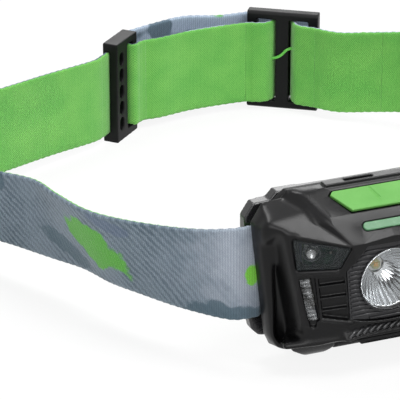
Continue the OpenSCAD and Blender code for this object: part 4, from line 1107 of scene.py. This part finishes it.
def band_mesh(name, points, mirror=False, camo_outside=True, start=0.0, step=0.3):
    """One length of band along the points, its outside left of its heading, and its length in mm."""
    s, h = smooth_run(points, step)
    wide_share, thick_share = band_profile()
    k, m = len(s), len(wide_share)
    along = np.concatenate([[0], np.cumsum(np.linalg.norm(np.diff(s[:, :3], axis=0), axis=1))])
    lean = np.radians(s[:, 3])
    n = np.stack([-h[:, 1], h[:, 0]], 1)
    wide = np.stack([n[:, 0] * np.sin(lean), n[:, 1] * np.sin(lean), np.cos(lean)], 1)
    thick = np.stack([n[:, 0] * np.cos(lean), n[:, 1] * np.cos(lean), -np.sin(lean)], 1)
    u, v = wide_share * STRAP_W / 2, thick_share * STRAP_T / 2
    turns = 2 * math.pi * (along + start)
    pick = PICKS[0] * np.sin(turns[:, None] / PICKS[1] + PICK_SWAY * np.sin(u[None] * SWAY_RATE))
    scallop = sum(height * np.sin(turns / pitch) for height, pitch in EDGE_WAVES)
    fade = np.clip(np.minimum(along, along[-1] - along) / RELIEF_FADE, 0, 1)
    edges = np.sign(u) * (np.abs(wide_share) > EDGE_FROM)
    uu = u[None] + edges[None] * (scallop * fade - EDGE_ROOM)[:, None]
    vv = v[None] + np.sign(v)[None] * (pick * fade[:, None] - FACE_ROOM)
    co = (s[:, None, :3] + uu[..., None] * wide[:, None] + vv[..., None] * thick[:, None]).reshape(-1, 3)
    i, j = np.meshgrid(np.arange(k - 1), np.arange(m), indexing="ij")
    here, beside = i * m + j, i * m + (j + 1) % m
    quads = np.stack([here, beside, beside + m, here + m], -1).reshape(-1, 4)
    caps = [tuple(range(m - 1, -1, -1)), tuple(range((k - 1) * m, k * m))]
    mesh = mesh_of(name, on_lamp(mirrored(co) if mirror else co), [tuple(f) for f in quads] + caps)
    faced = (thick_share + np.roll(thick_share, -1)) * (1 if camo_outside else -1)
    column = np.where(faced > CAMO_EDGE, 0, 1)
    index = np.concatenate([np.tile(column, k - 1), [1, 1]]).astype(np.int32)
    mesh.polygons.foreach_set("material_index", index)
    rounded_shading(mesh)
    for key, value in (("along", np.repeat(along + start, m)), ("across", np.tile(u, k))):
        mesh.attributes.new(key, "FLOAT", "POINT").data.foreach_set("value", value.astype(np.float32))
    return turned_outward(mesh), float(along[-1])


def band_piece(name, node, body, points, slider_bend=None, **settings):
    mesh, length = band_mesh(name, points, **settings)
    made = piece(name, mesh, body, "band", [node], CAMO, GREEN)
    if slider_bend:
        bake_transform(made)


def row(point):
    return tuple(on_lamp(point[:3]))


band_piece("band_middle", "strap_center", "bracket", CENTER, start=-46)
band_piece("band_left", "strap_left", "bracket", SLOT_RUN + LEFT_FAR + LEFT_END)
band_piece("band_right", "strap_right", "bracket", SLOT_RUN + flipped(RIGHT_FAR + RIGHT_END[:1]), mirror=True,
           start=518.8)
band_piece("band_slack", "strap_slack", None, flipped(RIGHT_FAR[-2:] + RIGHT_END + [at_slider(8, -4.25)]),
           mirror=True, start=684.5, slider_bend=(row(RIGHT_FAR[-1]), row(RIGHT_IN)))
band_piece("band_weave", "strap_weave", "slider", WEAVE, start=674.4)
band_piece("band_inner_run", "strap_inner_run", None, INNER, start=640,
           slider_bend=(row(TURN_IN), row(LEFT_IN)))
band_piece("band_turn", "strap_turn", "bracket", TURN, start=640, camo_outside=False)
band_piece("band_outer_run", "strap_outer_run", None, OUTER, start=656.6, camo_outside=False,
           slider_bend=(row(TURN_OUT), row(at_slider(-2, 4.7))))


# Loose thread across the bare bar of the slider

THREAD_R = 0.42
THREAD = [at_slider(*p) for p in ((-3.2, -1.6, 0.7), (-2.4, -2.0, 1.0), (-1.2, -2.25, 1.5), (0.2, -2.25, 2.5),
                                  (1.2, -2.25, 3.8), (2.2, -2.1, 4.4), (3.2, -1.6, 4.6))]


def strand(name, points, radius):
    """A round thread through the points, mm in the lamp frame."""
    line = bpy.data.curves.new(name, "CURVE")
    line.dimensions, line.bevel_depth, line.bevel_resolution, line.use_fill_caps = "3D", radius, 3, True
    spline = line.splines.new("NURBS")
    spline.points.add(len(points) - 1)
    for point, co in zip(spline.points, points):
        point.co = (*co[:3], 1)
    spline.use_endpoint_u, spline.order_u, spline.resolution_u = True, 3, 6
    mesh = baked(line)
    rounded_shading(mesh)
    return placed(mesh, on_lamp)


piece("loose_thread", strand("loose_thread", THREAD, THREAD_R), "slider", "band", [], YARN)


# Floor, light and camera

FLOOR_HALF, FLOOR_GREY, FLOOR_GLOW = 6, 0.82, 0.88   # glow is the share of plain white that the camera sees
WORLD_LIGHT = 0.14   # strength of the world where it lights the object; where it is seen it is 1
# lamps: name, place and size in m, power in W
LAMPS = (("key", (-0.55, -0.85, 0.7), 0.6, 5), ("fill", (0.9, -0.5, 0.6), 0.9, 2),
         ("top", (0.31, -0.40, 1.05), 0.5, 11), ("over", (-0.2, 0.36, 1.05), 0.4, 6),
         ("back", (0.42, 0.95, 0.55), 0.5, 3))
AIM = Vector((0, 0, 0.02))
# the photograph's view: picture size, where the lens lands and the focal length in pixels, distance in m
PICTURE, LENS_PIXEL_X, LENS_PIXEL_Y, ZOOM, AWAY = 400.0, 393, 280, 3160.0, 0.8
VIEW_TURN, VIEW_RISE = math.radians(22.5), math.radians(24)
SENSOR = 36.0


def background_seen(tree):
    """1 where the camera, metal or clear plastic sees the background, 0 where it lights the object."""
    path = add(tree, "LightPath")
    seen = calc(tree, "MAXIMUM", path.outputs["Is Camera Ray"], path.outputs["Is Glossy Ray"])
    return calc(tree, "MAXIMUM", seen, path.outputs["Is Transmission Ray"])


def plain_floor():
    corners = [(x * FLOOR_HALF, y * FLOOR_HALF, 0) for x, y in ((-1, -1), (1, -1), (1, 1), (-1, 1))]
    mesh = mesh_of("floor", corners, [(0, 1, 2, 3)])
    floor = bpy.data.objects.new("floor", mesh)
    scene.collection.objects.link(floor)
    material, tree, shader = new_finish("pale_floor")
    connect(tree, shader, {"Base Color": (FLOOR_GREY, FLOOR_GREY, FLOOR_GREY, 1), "Roughness": 0.9,
                           "Specular IOR Level": 0.1})
    glow = add(tree, "Emission", {"Color": (1, 1, 1, 1), "Strength": 1.0})
    both = add(tree, "MixShader", {0: times(tree, background_seen(tree), FLOOR_GLOW), 1: shader.outputs[0],
                                   2: glow.outputs[0]})
    connect(tree, tree.nodes["Material Output"], {"Surface": both.outputs[0]})
    mesh.materials.append(material)


def studio_light():
    world = bpy.data.worlds.new("studio")
    scene.world = world
    world.use_nodes = True
    tree = world.node_tree
    strength = ramp(tree, background_seen(tree), 0, 1, WORLD_LIGHT, 1.0)
    connect(tree, tree.nodes["Background"], {"Color": (1, 1, 1, 1), "Strength": strength})
    for name, place, size, power in LAMPS:
        lamp = bpy.data.lights.new(name, "AREA")
        lamp.size, lamp.energy = size, power
        made = bpy.data.objects.new(name, lamp)
        scene.collection.objects.link(made)
        made.location = place
        made.rotation_euler = (AIM - Vector(place)).to_track_quat("-Z", "Y").to_euler()
        made.visible_camera = False


def photo_camera():
    """The photograph's view, set so that the lens lands on its own picture point."""
    level = math.cos(VIEW_RISE)
    ahead = Vector((math.sin(VIEW_TURN) * level, math.cos(VIEW_TURN) * level, -math.sin(VIEW_RISE)))
    right = Vector((math.cos(VIEW_TURN), -math.sin(VIEW_TURN), 0))
    up = right.cross(ahead)
    data = bpy.data.cameras.new("photo_camera")
    data.sensor_width, data.lens = SENSOR, SENSOR * ZOOM / PICTURE
    camera = bpy.data.objects.new("photo_camera", data)
    scene.collection.objects.link(camera)
    aside, above = (LENS_PIXEL_X - PICTURE / 2) / ZOOM, (PICTURE / 2 - LENS_PIXEL_Y) / ZOOM
    camera.location = Vector(LENS_AT * MM) - AWAY * (ahead + aside * right + above * up)
    camera.rotation_mode = "QUATERNION"
    camera.rotation_quaternion = ahead.to_track_quat("-Z", "Y")
    scene.camera = camera


plain_floor()
studio_light()
photo_camera()
scene.view_settings.view_transform = "Standard"

bpy.context.view_layer.update()
